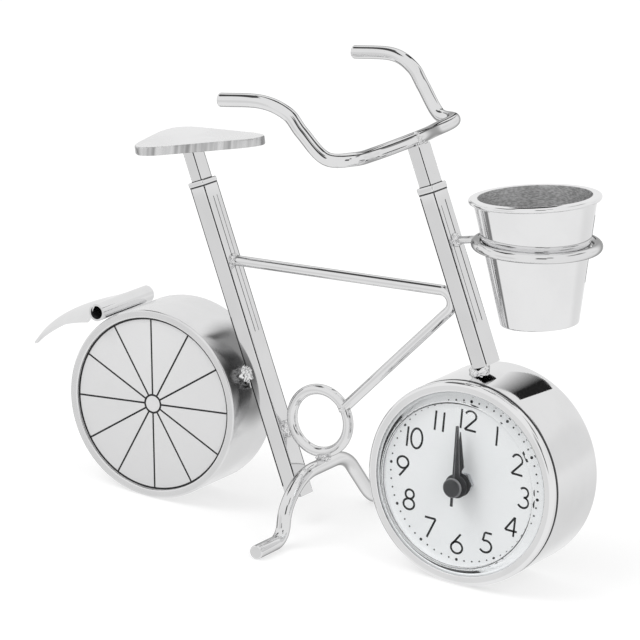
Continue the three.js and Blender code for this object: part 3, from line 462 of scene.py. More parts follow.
def hollowTube(name, foot, wide, deep, bottom, top):
    wall, row, (low, high) = bike["tubeWall"], tubes["endRow"], tubes["lining"]
    outside = [(bottom, wall), (bottom, 0), (lambda out: bottom(out) + row, 0), (top - row, 0),
               *softEnd(top, tubes["edge"], -1), (top, wall)]
    inside = [(top, wall), (top - high, wall), (lambda out: bottom(out) + low, wall), (bottom, wall)]
    # the inner wall takes the black finish: painted shade inside the tube
    grids = [(tubeRows(foot, wide, deep, tubes["corner"], rows), index)
             for index, rows in enumerate((outside, inside))]
    makePiece(name + "Tube", grids, [rodChrome, blackPlasticAndShade], nodes=[name + "_tube"])
    makeFaceLines(name, foot, wide, deep, tubes["corner"])


def makeCollar(name, foot, wide, deep, thin, start):
    c = collars
    low, high = start + c["lift"], start + c["lift"] + c["height"][name]
    inset, seam = c["proud"] + bike["tubeWall"], c["seam"]
    rows = softEnd(low, c["edge"], 1) + softEnd(high, c["edge"], -1) + [(high, inset), (low, inset)]

    # painted shade: black bands at the collar's foot and where the post goes in stand in for the shade in these gaps
    def darkBand(bottom, top, deepest):
        return [(bottom, 0), (top, 0), (top, deepest), (bottom, deepest)]

    under = darkBand(low - c["under"], low + c["lap"], inset)
    over = darkBand(high - c["lap"], high + c["over"], c["overDeep"])
    makePiece(name + "Collar", [
        (tubeRows(foot, wide + 2 * c["proud"], deep + 2 * c["proud"], c["corner"], rows), 0, True),
        (tubeRows(foot, wide + seam, deep + seam, tubes["corner"], under), 1, True),
        (tubeRows(foot, wide - thin + seam, deep - thin + seam, posts["corner"], over), 1, True),
    ], [rodChrome, blackPlasticAndShade], nodes=[name + "_collar"])


def makeTubes():
    tilt = tan(bike["lean"] - saddle["tilt"])

    def seatCut(out):
        return (tubes["seatFootZ"] - seatFoot[2] - out * ahead[2]) / upTube[2]

    def headCut(out):
        return tubes["headFootCut"] + 0 * out

    def underSaddle(out):
        return (posts["saddleRise"] - saddle["thick"] / 2 / cos(bike["lean"]) - posts["saddleGap"]
                - out * tilt)

    for name, foot, cut, start, postName, postTop in (
            ("seat", seatFoot, seatCut, tubes["seatTop"], "seat_post", underSaddle),
            ("head", headFoot, headCut, tubes["headTop"], "stem", posts["barRise"] - posts["barGap"])):
        thin = 2 * (bike["tubeWall"] + posts["play"][name])
        wide = bike["tubeAlong"] + tubes["wider"]
        deep = bike["tubeAcross"] + tubes["deeper"][name]
        hollowTube(name, foot, wide, deep, cut, start)
        makeCollar(name, foot, wide, deep, thin, start)
        rows = [(start - posts["insert"], 0), (postTop, 0)]
        post = drawnShut(tubeRows(foot, wide - thin, deep - thin, posts["corner"], rows))
        makePiece(name + "Post", [post], [rodChrome], nodes=[postName])
        makeFaceLines(name + "Post", foot, wide - thin, deep - thin, posts["corner"])


# saddle: a rounded three-cornered plate that sits a little askew, its outline shrunk towards the middle
saddle = {"thick": 3.0, "tilt": radians(10.9), "roll": radians(3.6), "yaw": radians(4.2),
          "behind": 16.1, "ahead": 36.9, "half": 18.9, "reaches": [[13.9], [18.5], [13.9]], "edge": 0.45,
          "crown": 0.25, "rings": (0, 0.3, 0.6, 0.85, 0.95)}


def makeSaddle():
    p = saddle
    outline = softCorners([[-p["behind"], -p["half"]], [p["ahead"], 0], [-p["behind"], p["half"]]],
                          p["reaches"], 28, pull=1)
    centre = outline.mean(0)
    half, edge = p["thick"] / 2, p["edge"]
    inwards = unit(centre - outline) * edge
    spot = onLine(seatFoot, posts["saddleRise"])
    turn = np.array(Matrix.Rotation(-p["tilt"], 3, "Y") @ Matrix.Rotation(p["roll"], 3, "X")
                    @ Matrix.Rotation(p["yaw"], 3, "Z"))

    def ringAt(flat, height):
        return spot + np.column_stack([flat, np.full(len(flat), height)]) @ turn.T

    def face(sign):
        crown = p["crown"] * (sign > 0)
        return [ringAt(centre + (outline + inwards - centre) * s, sign * (half + crown * (1 - s * s)))
                for s in p["rings"]] + [ringAt(outline + inwards, sign * half)]

    def rim(sign):
        return [ringAt(outline + inwards * (1 - sin(q)), sign * (half - edge + edge * cos(q)))
                for q in np.linspace(0, np.pi / 2, 5)]

    top = np.array(face(1) + rim(1)[1:2])
    side = np.array(rim(1)[1:] + rim(-1)[::-1][:-1])
    under = np.array(rim(-1)[1:2] + face(-1)[::-1])
    makePiece("saddlePlate", [top, (side, 1), under], [satinTop, sawnEdge], nodes=["saddle"],
              slot="satin_metal", sharp=50)


makeTubes()
makeSaddle()
print("tubes and saddle made")

# rods
bar = {"radius": 2.3, "soft": 0.6, "side": (0.74, 0.12, 0.66), "roll": radians(1.3),
       "half": [[0, 0, 0], [4, 19.8, -2], [4.3, 33.3, -1.2], [12.4, 37.6, -1.7], [20.4, 40.2, 5.8],
                [25.8, 41.2, 11.3], [34.8, 42.9, 13.8], [50, 43.4, 11.6]]}
# painted reflection along the handlebar: where along it runs, the way it faces, its width and how soon it comes to a
# point
paintedBarReflection = {"from": 0.065, "to": 0.64, "faces": (0.51, -0.37, 0.77), "width": 0.42, "point": 9}
rods = {"radius": 1.65, "plump": 0.13, "bend": 4.0, "seatEnd": 39.3, "sink": 0.2, "headTouch": 58.4, "headGap": 1.1,
        "aim": 2.6, "soft": 0.3}
crank = {"radius": 10.9, "gap": 1.65, "drop": 20.8}
standRod = {"radius": 2.2, "angle": radians(11.6), "gap": 0.3, "top": 14.0, "knee": 24.4, "drop": 8.7,
            "farKnee": 36.0, "foot": 41.5, "plump": 0.2, "soft": 0.5,
            "reaches": [[1.0], [5.0], [9.0], [7.0], [8.0], [8.0], [1.0]]}


def rodPiece(name, path, radius, side, soft, node):
    makePiece(name, [roundRod(path, radius, side, soft)], [rodChrome], nodes=[node])


def makeBarLine(path):
    # a painted reflection: a fine dark line where the bar faces one way, standing in for a dark reflection: that way
    # less its part along the bar, pointed at both ends
    way, count = np.array(paintedBarReflection["faces"]), len(path)
    part = slice(int(paintedBarReflection["from"] * count), int(paintedBarReflection["to"] * count))
    along = unit(np.gradient(path, axis=0))[part]
    outwards = unit(way - (along @ way)[:, None] * along)
    sideways = np.cross(along, outwards)
    row = np.arange(len(along))
    half = paintedBarReflection["width"] / 2 * np.clip((np.minimum(row, row[::-1]) + 1) / paintedBarReflection["point"], 0, 1)[:, None, None]
    low, high = bar["radius"] + np.array(lineDepth)
    strip = ribbon(path[part], sideways[:, None], outwards[:, None], half, low, high)
    makePiece("handlebarPaintedReflection", [drawnShut(strip)], [reflectionLinePaint])


def makeHandlebar():
    centre = onLine(headFoot, posts["barRise"])
    half = np.array(bar["half"], float)
    sides = [np.stack([-half[:, 0], sign * half[:, 1], half[:, 2]], -1) for sign in (-1, 1)]
    points = np.vstack([sides[0][::-1], sides[1][1:]])
    cosine, sine = cos(bar["roll"]), sin(bar["roll"])
    rolled = np.stack([points[:, 0], points[:, 1] * cosine - points[:, 2] * sine,
                       points[:, 1] * sine + points[:, 2] * cosine], -1)
    path = throughPoints(rolled) + centre
    rodPiece("handlebarRod", path, bar["radius"], np.array(bar["side"]), bar["soft"], "handlebar")
    makeBarLine(path)


ringCentre = onLine(seatFoot, -crank["drop"], halfTube + crank["gap"] + rods["radius"] + crank["radius"])
straightAhead = np.array([1.0, 0, 0])


def makeRods():
    thick = rods["radius"] + rods["plump"]
    makePiece("crankRing", [(ringRod(ringCentre, crank["radius"], thick, across, straightAhead), 0, True)],
              [rodChrome], nodes=["crank_ring"])
    start = onLine(seatFoot, rods["seatEnd"], halfTube - rods["sink"])
    touch = onLine(headFoot, rods["headTouch"], -halfTube - rods["headGap"] - rods["radius"])
    aim = ringCentre - rods["aim"] * upTube
    corner = touch
    for _ in range(5):  # the legs' angle depends on the corner outside the bend
        up, down = unit(start - corner), unit(aim - corner)
        half = acos(np.dot(up, down)) / 2
        corner = touch + unit(up + down) * rods["bend"] * (1 - 1 / sin(half))
    nearest = aim + down * np.dot(ringCentre - aim, down)
    end = nearest - down * sqrt(crank["radius"] ** 2 - np.sum((nearest - ringCentre) ** 2))
    path = softLine([start, corner, end], rods["bend"] / tan(half), 22)
    path = np.vstack([path[:1], path[:1] + (path[1:2] - path[:1]) * np.linspace(0.1, 0.95, 8)[:, None], path[1:]])
    rodPiece("frameBar", path, thick, across, rods["soft"], "frame_bar")
    return end


def makeStand():
    s = standRod
    drop = crank["radius"] + rods["radius"] + s["radius"] + s["gap"]
    x, top = ringCentre[0] + drop * sin(s["angle"]), ringCentre[2] - drop * cos(s["angle"])
    low = s["radius"] + s["plump"]
    points = [[x, -s["foot"], low], [x, -s["knee"], low], [x, -s["knee"], top - s["drop"]], [x, -s["top"], top],
              [x, s["top"], top], [x, s["farKnee"], low], [x, s["foot"], low]]
    path = softLine(points, s["reaches"], 16)
    rodPiece("standRod", path, low, straightAhead, s["soft"], "stand")


makeHandlebar()
frameBarEnd = makeRods()
makeStand()
print("rods made")

# welds: balls pushed in and out by three waves of their own direction
welds = {
    "gap": (2.6, 4.0, 4.8), "lump": (2.7, 2.2, 2.9), "head": (3.0, 4.4, 2.7), "ring": (1.9, 1.7, 3.0),
    "bar": (1.5, 2.0, 2.1), "stand": (2.3, 3.0, 1.9), "apex": (1.7, 1.7, 2.8), "arm": (1.5, 2.5, 2.3),
    "stem": (2.3, 3.7, 1.3), "mouth": (1.5, 1.9, 2.6), "barEnd": (2.0, 1.9, 2.0), "rough": 0.15, "smooth": 0.05,
}
# where a weld sits: lumpUp, headDown and stemDown along the tube, the others out from its face or the rod
weldPlace = {"lumpUp": 1.2, "headDown": 1.0, "headOut": 0.4, "stand": 0.2, "bar": 0.5, "apex": 0.6, "arm": 0.4,
             "stemDown": 2.2, "mouth": (-0.4, 0.9, -1.7)}


def weldLump(name, centre):
    rise = np.linspace(0, np.pi, 40)[:, None]
    turn = fullTurn(64)[None, :]
    x, y, z = np.sin(rise) * np.cos(turn), np.sin(rise) * np.sin(turn), np.cos(rise) + 0 * turn
    wave = np.sin(7 * x + 3 * y) * np.sin(6 * z + 2) + 0.7 * np.sin(11 * y + 5 * z) + 0.5 * np.sin(17 * z - 9 * x)
    swell = 1 + welds["smooth" if name == "head" else "rough"] * wave * np.sin(rise)
    local = (np.stack([x, y, z], -1) * swell[..., None]) * np.array(welds[name])
    return centre + local[..., :1] * ahead + local[..., 1:2] * across + local[..., 2:] * upTube


def makeWelds():
    p = weldPlace
    rearGap = onLine(seatFoot, 0, -halfTube - bike["rearGap"] / 2)
    lumpUp, aside = p["lumpUp"] * upTube, bike["tubeAcross"] / 2 * across
    standTop = ringCentre + np.array([sin(standRod["angle"]), 0, -cos(standRod["angle"])]) * (
        crank["radius"] + rods["radius"] + p["stand"])
    mouthUp, mouthOut, mouthAside = p["mouth"]
    sets = {
        "rearWeld": ("rear_weld", [("gap", rearGap), ("lump", rearGap - aside + lumpUp),
                                   ("lump", rearGap + aside + lumpUp)]),
        "headWeld": ("head_weld", [("head", onLine(headFoot, tubes["headFootCut"] - p["headDown"],
                                                   -halfTube - p["headOut"]))]),
        "ringWeld": ("ring_weld", [("ring", onLine(seatFoot, -crank["drop"], halfTube + crank["gap"] / 2))]),
        "rodWelds": (None, [("bar", onLine(seatFoot, rods["seatEnd"], halfTube + p["bar"])), ("stand", standTop),
                            ("apex", onLine(headFoot, rods["headTouch"], -halfTube - p["apex"])),
                            ("barEnd", frameBarEnd)]),
        "headWelds": (None, [
            ("arm", onLine(headFoot, cupShape["rise"] + cupShape["armRise"], halfTube + p["arm"])),
            ("stem", onLine(headFoot, posts["barRise"] - p["stemDown"])),
            ("mouth", onLine(headFoot, posts["barRise"] + mouthUp, mouthOut) + mouthAside * across)]),
    }
    for name, (node, lumps) in sets.items():
        makePiece(name, [weldLump(*entry) for entry in lumps], [weldMetal], nodes=[node] if node else (),
                  slot="weld_metal", sharp=80)


# cup and its wire ring: turned about their own line, which leans back
cupShape = {"lean": radians(8.5), "ringLean": radians(4.4), "reach": 31.65, "rise": 68.32, "height": 42.3,
            "above": 16.0, "topRadius": 20.15, "baseRadius": 12.85, "lip": 1.6, "wall": 1.0, "rim": 1.4,
            "edge": 0.7, "corner": 1.2, "wire": 1.7, "clear": 0.4, "arm": 1.25, "armRise": 8.4, "armDrop": 0.8,
            "armSink": 0.2, "armSoft": 0.2}


def makeCup():
    c = cupShape
    centre = onLine(headFoot, c["rise"], c["reach"])
    lineUp, lineAhead = leaning(c["lean"])
    ringUp, ringAhead = leaning(c["ringLean"])

    def leaned(profile, sides=160):
        # a profile of (radius, height) carried round the leaning line
        a = fullTurn(sides)[None, :, None]
        out = np.cos(a) * lineAhead + np.sin(a) * across
        return centre + profile[:, :1, None] * out + profile[:, 1:2, None] * lineUp

    top, base, lip = c["above"], c["above"] - c["height"], c["topRadius"] + c["lip"]
    mouth, floor = [c["topRadius"] - c["rim"], top], base + 2 * c["wall"]
    outside = softLine([[0, base], [c["baseRadius"], base], [c["topRadius"], top - c["lip"]],
                        [lip, top - c["lip"]], [lip, top], mouth], c["edge"], 7)
    inside = softLine([mouth, [c["baseRadius"] - c["wall"], floor], [0, floor]], c["corner"], 7)
    makePiece("cupShell", [leaned(outside), (leaned(inside), 1)], [cupChrome, cupInside],
              body="cup_group", nodes=["cup"])
    slope = (c["topRadius"] - c["baseRadius"]) / c["height"]
    wireRadius = c["topRadius"] - slope * (c["above"] - c["wire"]) + c["clear"] + c["wire"]
    arm = np.linspace(onLine(headFoot, c["rise"] + c["armRise"], halfTube),
                      centre - ringAhead * (wireRadius - c["armSink"]) - c["armDrop"] * ringUp, 9)
    makePiece("cupRing", [(ringRod(centre, wireRadius, c["wire"], ringUp, ringAhead), 0, True),
                          roundRod(arm, c["arm"], across, c["armSoft"])], [rodChrome], nodes=["cup_ring"])


makeCup()
makeWelds()
print("cup and welds made")

# mudguard: one sheet, a roll and then a tail that arches and narrows; two faces a sheet's thickness apart
guard = {"angle": radians(129), "roll": 3.0, "sheet": 0.7, "half": 16.0, "leave": radians(114),
         "length": 32.5, "fall": 24.1, "elbow": 25.0, "elbowFall": 9.5, "arch": 6.0, "ease": 0.06, "taper": 1.4,
         "flatten": 0.8, "tip": 1.0, "turn": radians(330), "clear": 0.3}


def makeMudguard():
    g = guard
    away = bike["rearReach"] + g["roll"] + g["clear"]
    centre = np.array([away * cos(g["angle"]), 0, rearHub[2] + away * sin(g["angle"])])
    middle = g["roll"] - g["sheet"] / 2
    a = np.linspace(g["leave"] - g["turn"], g["leave"], 60, endpoint=False)
    v = np.linspace(-1, 1, 41)[None, :]
    rollX, rollZ = centre[0] + middle * np.cos(a), centre[2] + middle * np.sin(a)
    roll = np.stack(np.broadcast_arrays(rollX[:, None], g["half"] * v, rollZ[:, None]), -1)
    u = np.linspace(0, 1, 60)[:, None]
    half = g["tip"] + (g["half"] - g["tip"]) * (1 - u) ** g["taper"]
    bend = 2 * u * (1 - u)
    x = centre[0] + middle * cos(g["leave"]) - bend * g["elbow"] - u * u * g["length"]
    crown = centre[2] + middle * sin(g["leave"]) - bend * g["elbowFall"] - u * u * g["fall"]
    ease = np.minimum(1, u / g["ease"])
    droop = g["arch"] * ease * ease * (3 - 2 * ease) * (1 - u) ** g["flatten"]
    tail = np.stack([x + 0 * v, half * v, crown - droop * v ** 2], -1)
    sheet = np.concatenate([roll, tail])
    out = unit(np.cross(np.gradient(sheet, axis=1), np.gradient(sheet, axis=0))) * g["sheet"] / 2
    outer, inner = sheet + out, sheet - out
    sides = [np.stack([outer[:, k], inner[:, k]], 1) for k in (0, -1)]
    ends = [np.stack([outer[k], inner[k]], 1) for k in (0, -1)]
    # the roll's inner face takes the black finish: painted shade inside the roll
    faces = [(outer, 0), (inner[:len(roll) + 1], 1)] + [(rows, 0) for rows in (inner[len(roll):], *sides, *ends)]
    makePiece("mudguardSheet", [(*face, False, False) for face in faces], [chrome, blackPlasticAndShade],
              nodes=["mudguard"], sharp=40)


makeMudguard()
print("mudguard made")

# rear wheel
rear = {"wall": 0.9, "lip": 2.8, "edge": 0.7, "gap": 0.3, "discFront": 1.0, "discThick": 0.8, "discEdge": 0.15,
        "plate": 0.9, "plateSink": 0.35, "plateRim": 2.6, "plateStep": 3.2, "plateEdge": 0.4}
spokes = {"count": 12, "turn": radians(-6.5), "inner": 3.1, "outer": 29.75, "line": 0.6, "raise": 0.03,
          "ringWider": 1.1, "ringOver": 0.01}
inkRoot = 0.02


def inkLine(path, width, y, raised):
    # a thin bar along a path of (x, z) on a flat face that looks along -y
    path = np.stack([path[:, 0], np.full(len(path), y), path[:, 1]], -1)
    sideways = np.cross(across, unit(np.gradient(path, axis=0)))[:, None]
    return drawnShut(ribbon(path, sideways, -across, width / 2, -inkRoot, raised), path[[0, -1]])


def inkRing(hub, radius, width, y, raised):
    a, b = radius - width / 2, radius + width / 2
    return turned([[a, y + inkRoot], [a, y - raised], [b, y - raised], [b, y + inkRoot]], hub, 160)


def makeRearWheel():
    r, s, half, radius = rear, spokes, bike["rearDepth"] / 2, bike["rearRadius"]
    inside, lip = radius - r["wall"], radius - r["lip"]
    fit, lipBack = inside - r["gap"], -half + r["wall"]
    drum = softCorners([[radius, -half], [radius, half], [inside, half], [inside, lipBack], [lip, lipBack],
                        [lip, -half]], r["edge"], 7)
    rows = turned(drum, rearHub, 192)
    # the side runs from past the middle of the front edge's arc to the middle of the back edge's
    makePiece("rearDrum", [rows[4:11], (np.concatenate([rows[10:], rows[:5]]), 1)],
              [paintedShadeSide, rearChrome], nodes=["rear_drum"])
    front = -half + r["discFront"]
    back = front + r["discThick"]
    disc = softLine([[0, front], [fit, front], [fit, back], [0, back]], r["discEdge"], 4)
    turnedPiece("spokeDisc", disc, rearHub, 128, spokeFace, "spoke_disc", closed=False, slot="spoke_face")
    under, sunk = half - r["plate"], half - r["plateSink"]
    plate = softLine([[0, under], [fit, under], [fit, half], [inside - r["plateRim"], half],
                      [inside - r["plateStep"], sunk], [0, sunk]], r["plateEdge"], 6)
    turnedPiece("rearBackPlate", plate, rearHub, 128, chrome, "rear_back_plate", closed=False)
    lines = []
    for k in range(s["count"]):
        angle = s["turn"] + 2 * pi * k / s["count"]
        span = np.linspace(s["inner"], s["outer"], 6)
        path = np.stack([rearHub[0] + span * sin(angle), rearHub[2] + span * cos(angle)], -1)
        lines.append(inkLine(path, s["line"], front, s["raise"]))
    for radius in (s["inner"], s["outer"]):
        ring = inkRing(rearHub, radius, s["line"] * s["ringWider"], front, s["raise"] + s["ringOver"])
        lines.append((ring, 0, True))
    makePiece("spokePrint", lines, [ink], slot="hand_black")


makeRearWheel()
print("rear wheel made")

# front wheel: drum, bezel, lens and dial, by depth along y
case = {"wall": 0.9, "bezelFront": -16.6, "bezelBack": -13.0, "back": 15.4, "opening": 27.0, "bezelInside": 31.2,
        "rebate": 0.45, "sleeve": 1.2, "skirtBack": -7.0, "edge": 0.6, "gap": 0.3, "seam": 0.45, "roll": 1.6,
        "seamDepth": 0.06, "seamRoot": 1.0, "seamLap": 0.15}
lensShape = {"flangeRadius": 31.9, "flangeFront": -16.05, "flange": 1.0, "base": 30.9, "shoulder": 28.6,
             "bevel": 1.7, "dome": 7.5, "wall": 1.0}
dialShape = {"radius": 31.9, "front": -13.0, "back": -12.5, "bore": 2.4, "spacer": 1.6, "gap": 0.1,
             "spacerEdge": 0.25}


def makeCase():
    c, radius = case, bike["frontRadius"]
    inside = radius - c["wall"]
    start, floor = c["bezelBack"] + c["seam"], c["back"] - c["wall"]
    drum = softCorners([[radius, start], [radius, c["back"]], [c["opening"], c["back"]],
                        [c["opening"], floor], [inside, floor], [inside, start]], c["edge"], 7)
    turnedPiece("frontDrum", drum, frontHub, 192, chrome, "front_drum")
    front, back, rebate = c["bezelFront"], c["bezelBack"], c["bezelFront"] + c["rebate"]
    skirt = inside - c["gap"]
    lining = skirt - c["sleeve"]
    roll = softLine([[skirt, back], [radius, back], [radius, front], [c["bezelInside"], front],
                     [c["bezelInside"], rebate], [lining, rebate]], c["roll"], 13)
    sleeve = [[lining, rebate], [lining, c["skirtBack"]], [skirt, c["skirtBack"]], [skirt, back]]
    low, high, lap = radius - c["seamRoot"], radius - c["seamDepth"], c["seamLap"]
    seam = [[low, back - lap], [high, back - lap], [high, start + lap], [low, start + lap]]
    # the seam ring in the gap and the sleeve take the black finish: painted shade in the gap between bezel and drum
    makePiece("bezelRing", [
        turned(roll, frontHub, 192), (turned(seam, frontHub, 192), 1, True),
        (turned(sleeve, frontHub, 192), 1)], [cupChrome, blackPlasticAndShade], nodes=["bezel"])
    s = lensShape
    shoulder = s["flangeFront"] - s["bevel"]
    arc = np.linspace(0, np.pi / 2, 28)

    def dome(radius, height):
        return np.stack([radius * np.cos(arc), shoulder - height * np.sin(arc)], -1)

    flangeBack = s["flangeFront"] + s["flange"]
    outer = np.vstack([[[s["flangeRadius"], s["flangeFront"]], [s["base"], s["flangeFront"]]],
                       dome(s["shoulder"], s["dome"])])
    inner = np.vstack([[[s["base"] - s["wall"], flangeBack]],
                       dome(s["shoulder"] - s["wall"], s["dome"] - s["wall"])])
    shell = np.vstack([[[s["flangeRadius"], flangeBack]], outer, inner[::-1]])
    shell[np.abs(shell[:, 0]) < 1e-6, 0] = 0
    turnedPiece("lensShell", shell, frontHub, 160, clearLens, "lens", slot="clear_lens", sharp=25)
    d = dialShape
    face = [[d["bore"], d["front"]], [d["radius"], d["front"]], [d["radius"], d["back"]], [d["bore"], d["back"]]]
    turnedPiece("dialDisc", face, frontHub, 160, dialPaint, "dial", slot="dial_face")
    nearest, farthest, within = flangeBack + d["gap"], d["front"] - d["gap"], d["radius"] - d["spacer"]
    spacer = softCorners([[d["radius"], nearest], [d["radius"], farthest], [within, farthest], [within, nearest]],
                         d["spacerEdge"], 5)
    turnedPiece("dialSpacer", spacer, frontHub, 160, dialPaint, "dial_spacer")


makeCase()
print("case and lens made")

# dial print: single-stroke figures in a box one high, and two sizes of dots
figures = {"height": 6.8, "widen": 1.1, "line": 0.72, "ring": 21.3, "bulge": 1.4, "left": 0.35, "space": 0.2,
           "elevenSpace": 0.45, "raise": 0.03, "dotRing": 27.45, "dotLift": 0.6, "hourDot": 0.52, "minuteDot": 0.31}


def arcOf(centre, radii, start, end, steps=28):
    a = np.radians(np.linspace(start, end, steps))
    return np.stack([centre[0] + radii[0] * np.cos(a), centre[1] + radii[1] * np.sin(a)], -1)


figureStrokes = {
    "0": [arcOf((0.28, 0.5), (0.28, 0.5), 90, 450, 48)],
    "1": [[[0.0, 0.0], [0.0, 0.5], [0.0, 1.0]]],
    "2": [np.vstack([arcOf((0.28, 0.73), (0.26, 0.27), 165, -28), [[0.02, 0.0], [0.06, 0.0], [0.58, 0.0]]])],
    "3": [np.vstack([arcOf((0.24, 0.76), (0.23, 0.24), 140, -90), arcOf((0.24, 0.26), (0.28, 0.26), 90, -150)])],
    "4": [[[0.44, 0.0], [0.44, 0.5], [0.44, 0.98], [0.42, 0.97], [0.0, 0.29], [0.03, 0.28], [0.6, 0.28]]],
    "5": [np.vstack([[[0.48, 1.0], [0.17, 1.0], [0.13, 0.97], [0.07, 0.6]],
                     arcOf((0.22, 0.31), (0.3, 0.3), 112, -145)])],
    "6": [[[0.42, 1.0], [0.2, 0.66], [0.06, 0.44]], arcOf((0.28, 0.29), (0.28, 0.29), 150, 510, 48)],
    "7": [[[0.0, 1.0], [0.3, 1.0], [0.52, 1.0], [0.53, 0.97], [0.18, 0.0]]],
    "8": [arcOf((0.28, 0.77), (0.21, 0.23), 0, 360, 40), arcOf((0.28, 0.27), (0.27, 0.27), 0, 360, 44)],
    "9": [[[0.16, 0.0], [0.36, 0.3], [0.51, 0.57]], arcOf((0.28, 0.71), (0.28, 0.29), -30, 330, 48)],
}
figureWidth = {"0": 0.56, "1": 0.0, "2": 0.58, "3": 0.53, "4": 0.6, "5": 0.52, "6": 0.56, "7": 0.53, "8": 0.54,
               "9": 0.56}


def figureLines(text, x, z, y):
    f = figures
    widths = [figureWidth[mark] * f["widen"] for mark in text]
    space = f["elevenSpace"] if text == "11" else f["space"]
    total = sum(widths) + space * (len(text) - 1)
    pen, lines = -total / 2, []
    for mark, width in zip(text, widths):
        for stroke in map(np.array, figureStrokes[mark]):
            spots = np.stack([(pen + stroke[:, 0] * f["widen"]) * f["height"] + x,
                              (stroke[:, 1] - 0.5) * f["height"] + z], -1)
            lines.append(inkLine(spots, f["line"], y, f["raise"]))
        pen += width + space
    return lines


def makeDialPrint():
    f, y, prints = figures, dialShape["front"], []
    low, high = y + inkRoot, y - f["raise"]
    for hour in range(1, 13):
        angle = radians(30 * hour)
        x = frontHub[0] - f["left"] + f["ring"] * sin(angle) + f["bulge"] * sin(angle) ** 5
        prints += figureLines(str(hour), x, frontHub[2] + f["ring"] * cos(angle), y)
    for minute in range(60):
        angle = radians(6 * minute)
        spot = frontHub + f["dotRing"] * np.array([sin(angle), 0, cos(angle)])
        spot[2] += f["dotLift"]
        radius = f["hourDot"] if minute % 5 == 0 else f["minuteDot"]
        prints.append(turned([[0, low], [radius, low], [radius, high], [0, high]], spot, 16))
    makePiece("dialPrint", prints, [ink], slot="hand_black")


makeDialPrint()
print("dial printed")

# hands: a blade of (half width, distance) with a soft ridge, a boss and a bore
hands = {
    "hourHand": {"blade": [(1.0, 0), (0.72, 3.4), (0.7, 4.6), (1.6, 6.0), (1.5, 6.6), (0.15, 17.7)], "rest": -4.9,
                 "front": -16.15, "boss": 4.0, "bore": 1.3, "body": "hour_group", "node": "hour_hand"},
    "minuteHand": {"blade": [(1.4, 0), (1.05, 7), (0.35, 20.4)], "rest": -4.0,
                   "front": -18.65, "boss": 4.0, "bore": 0.62, "body": "minute_group", "node": "minute_hand"},
    "secondHand": {"blade": [(0.52, -6.3), (0.48, -2), (0.35, 0), (0.28, 21.0)], "rest": -1.9,
                   "front": -20.95, "boss": 3.3, "bore": 0.0, "body": "second_group", "node": "second_hand"},
}
handSheet = {"thick": 0.25, "ridge": 0.06, "capHeight": 0.5, "capRim": 0.4, "capSoft": 0.3, "soft": 0.1,
             "softPart": 0.4, "bossRaise": 0.05}


def makeHands():
    s = handSheet
    for name, h in hands.items():
        blade = np.array(h["blade"], float)
        along = np.linspace(blade[0, 1], blade[-1, 1], 80)
        half = np.interp(along, blade[:, 1], blade[:, 0])
        front, back, boss = h["front"], h["front"] + s["thick"], h["boss"]
        soft = np.minimum(s["soft"], s["softPart"] * half)
        # section: back edge, softened sides and a ridge along the front
        sideways = np.stack([-half, -half, -half + soft, 0 * half, half - soft, half, half], 1)
        shoulder = front + s["soft"]
        depth = np.array([back, shoulder, front, front - s["ridge"], front, shoulder, back])
        turn = radians(h["rest"])
        x = frontHub[0] + sideways * cos(turn) + along[:, None] * sin(turn)
        z = frontHub[2] - sideways * sin(turn) + along[:, None] * cos(turn)
        rows = drawnShut(np.stack([x, depth + 0 * x, z], -1))
        # the softened sides and the cap's rim take the lighter grey: a painted highlight
        faces = [(rows[:, 2:5], 0), (rows[:, [6, 0]], 0), (rows[:, :3], 1), (rows[:, 4:], 1)]
        grids = [(*face, False, False) for face in faces]
        if h["bore"]:
            high = front - s["bossRaise"]
            disc = softCorners([[h["bore"], high], [boss, high], [boss, back], [h["bore"], back]], s["soft"], 5)
            grids.append((turned(disc, frontHub, 64), 0, True))
        else:
            high, flat = front - s["capHeight"], boss - s["capRim"]
            rim = softLine([[flat, high], [boss, high], [boss, back]], s["capSoft"], 7)
            grids += [(turned(rim, frontHub, 64), 1), turned([[0, high], [flat, high]], frontHub, 64),
                      turned([[boss, back], [0, back]], frontHub, 64)]
        makePiece(name, grids, [handPaint, handPaintedHighlight], body=h["body"], nodes=[h["node"]], slot="hand_black")


makeHands()
print("hands made")

# studio: pale floor, one key and one fill lamp, and a world that metal sees with dark gaps between white panels
studio = {"floorTone": 0.5, "floorGlow": 0.52, "floorRough": 0.9, "floorSize": 4.0, "floorZ": -0.0001,
          "diffuse": 0.86, "glossy": 0.88, "lit": (0, 0, 0.07), "cardTone": 0.01}
lamps = {"keyLamp": {"at": (-0.5, -0.9, 1.3), "power": 8.4, "size": 0.9},
         "fillLamp": {"at": (1.1, -0.3, 0.9), "power": 3.0, "size": 0.9}}
darkGaps = [  # azimuth and elevation of each gap's middle, half sizes, softness, all in degrees, and its depth
    {"at": (35, 16), "half": (7, 9), "soft": 5, "depth": 0.93},
    {"at": (51, 33), "half": (4, 6), "soft": 4, "depth": 0.85},
    {"at": (-92, -28), "half": (10, 16), "soft": 4, "depth": 0.75},
    {"at": (-79, 54), "half": (32, 8), "soft": 3, "depth": 0.92},
    {"at": (122, 46), "half": (26, 4), "soft": 4, "depth": 0.7},
    {"at": (-28.9, -16.6), "half": (14, 10), "soft": 12, "depth": 0.13},
    {"at": (160, -35), "half": (14, 10), "soft": 24, "depth": 0.12},
    {"at": (149, 10), "half": (6, 6), "soft": 8, "depth": 0.08},
]
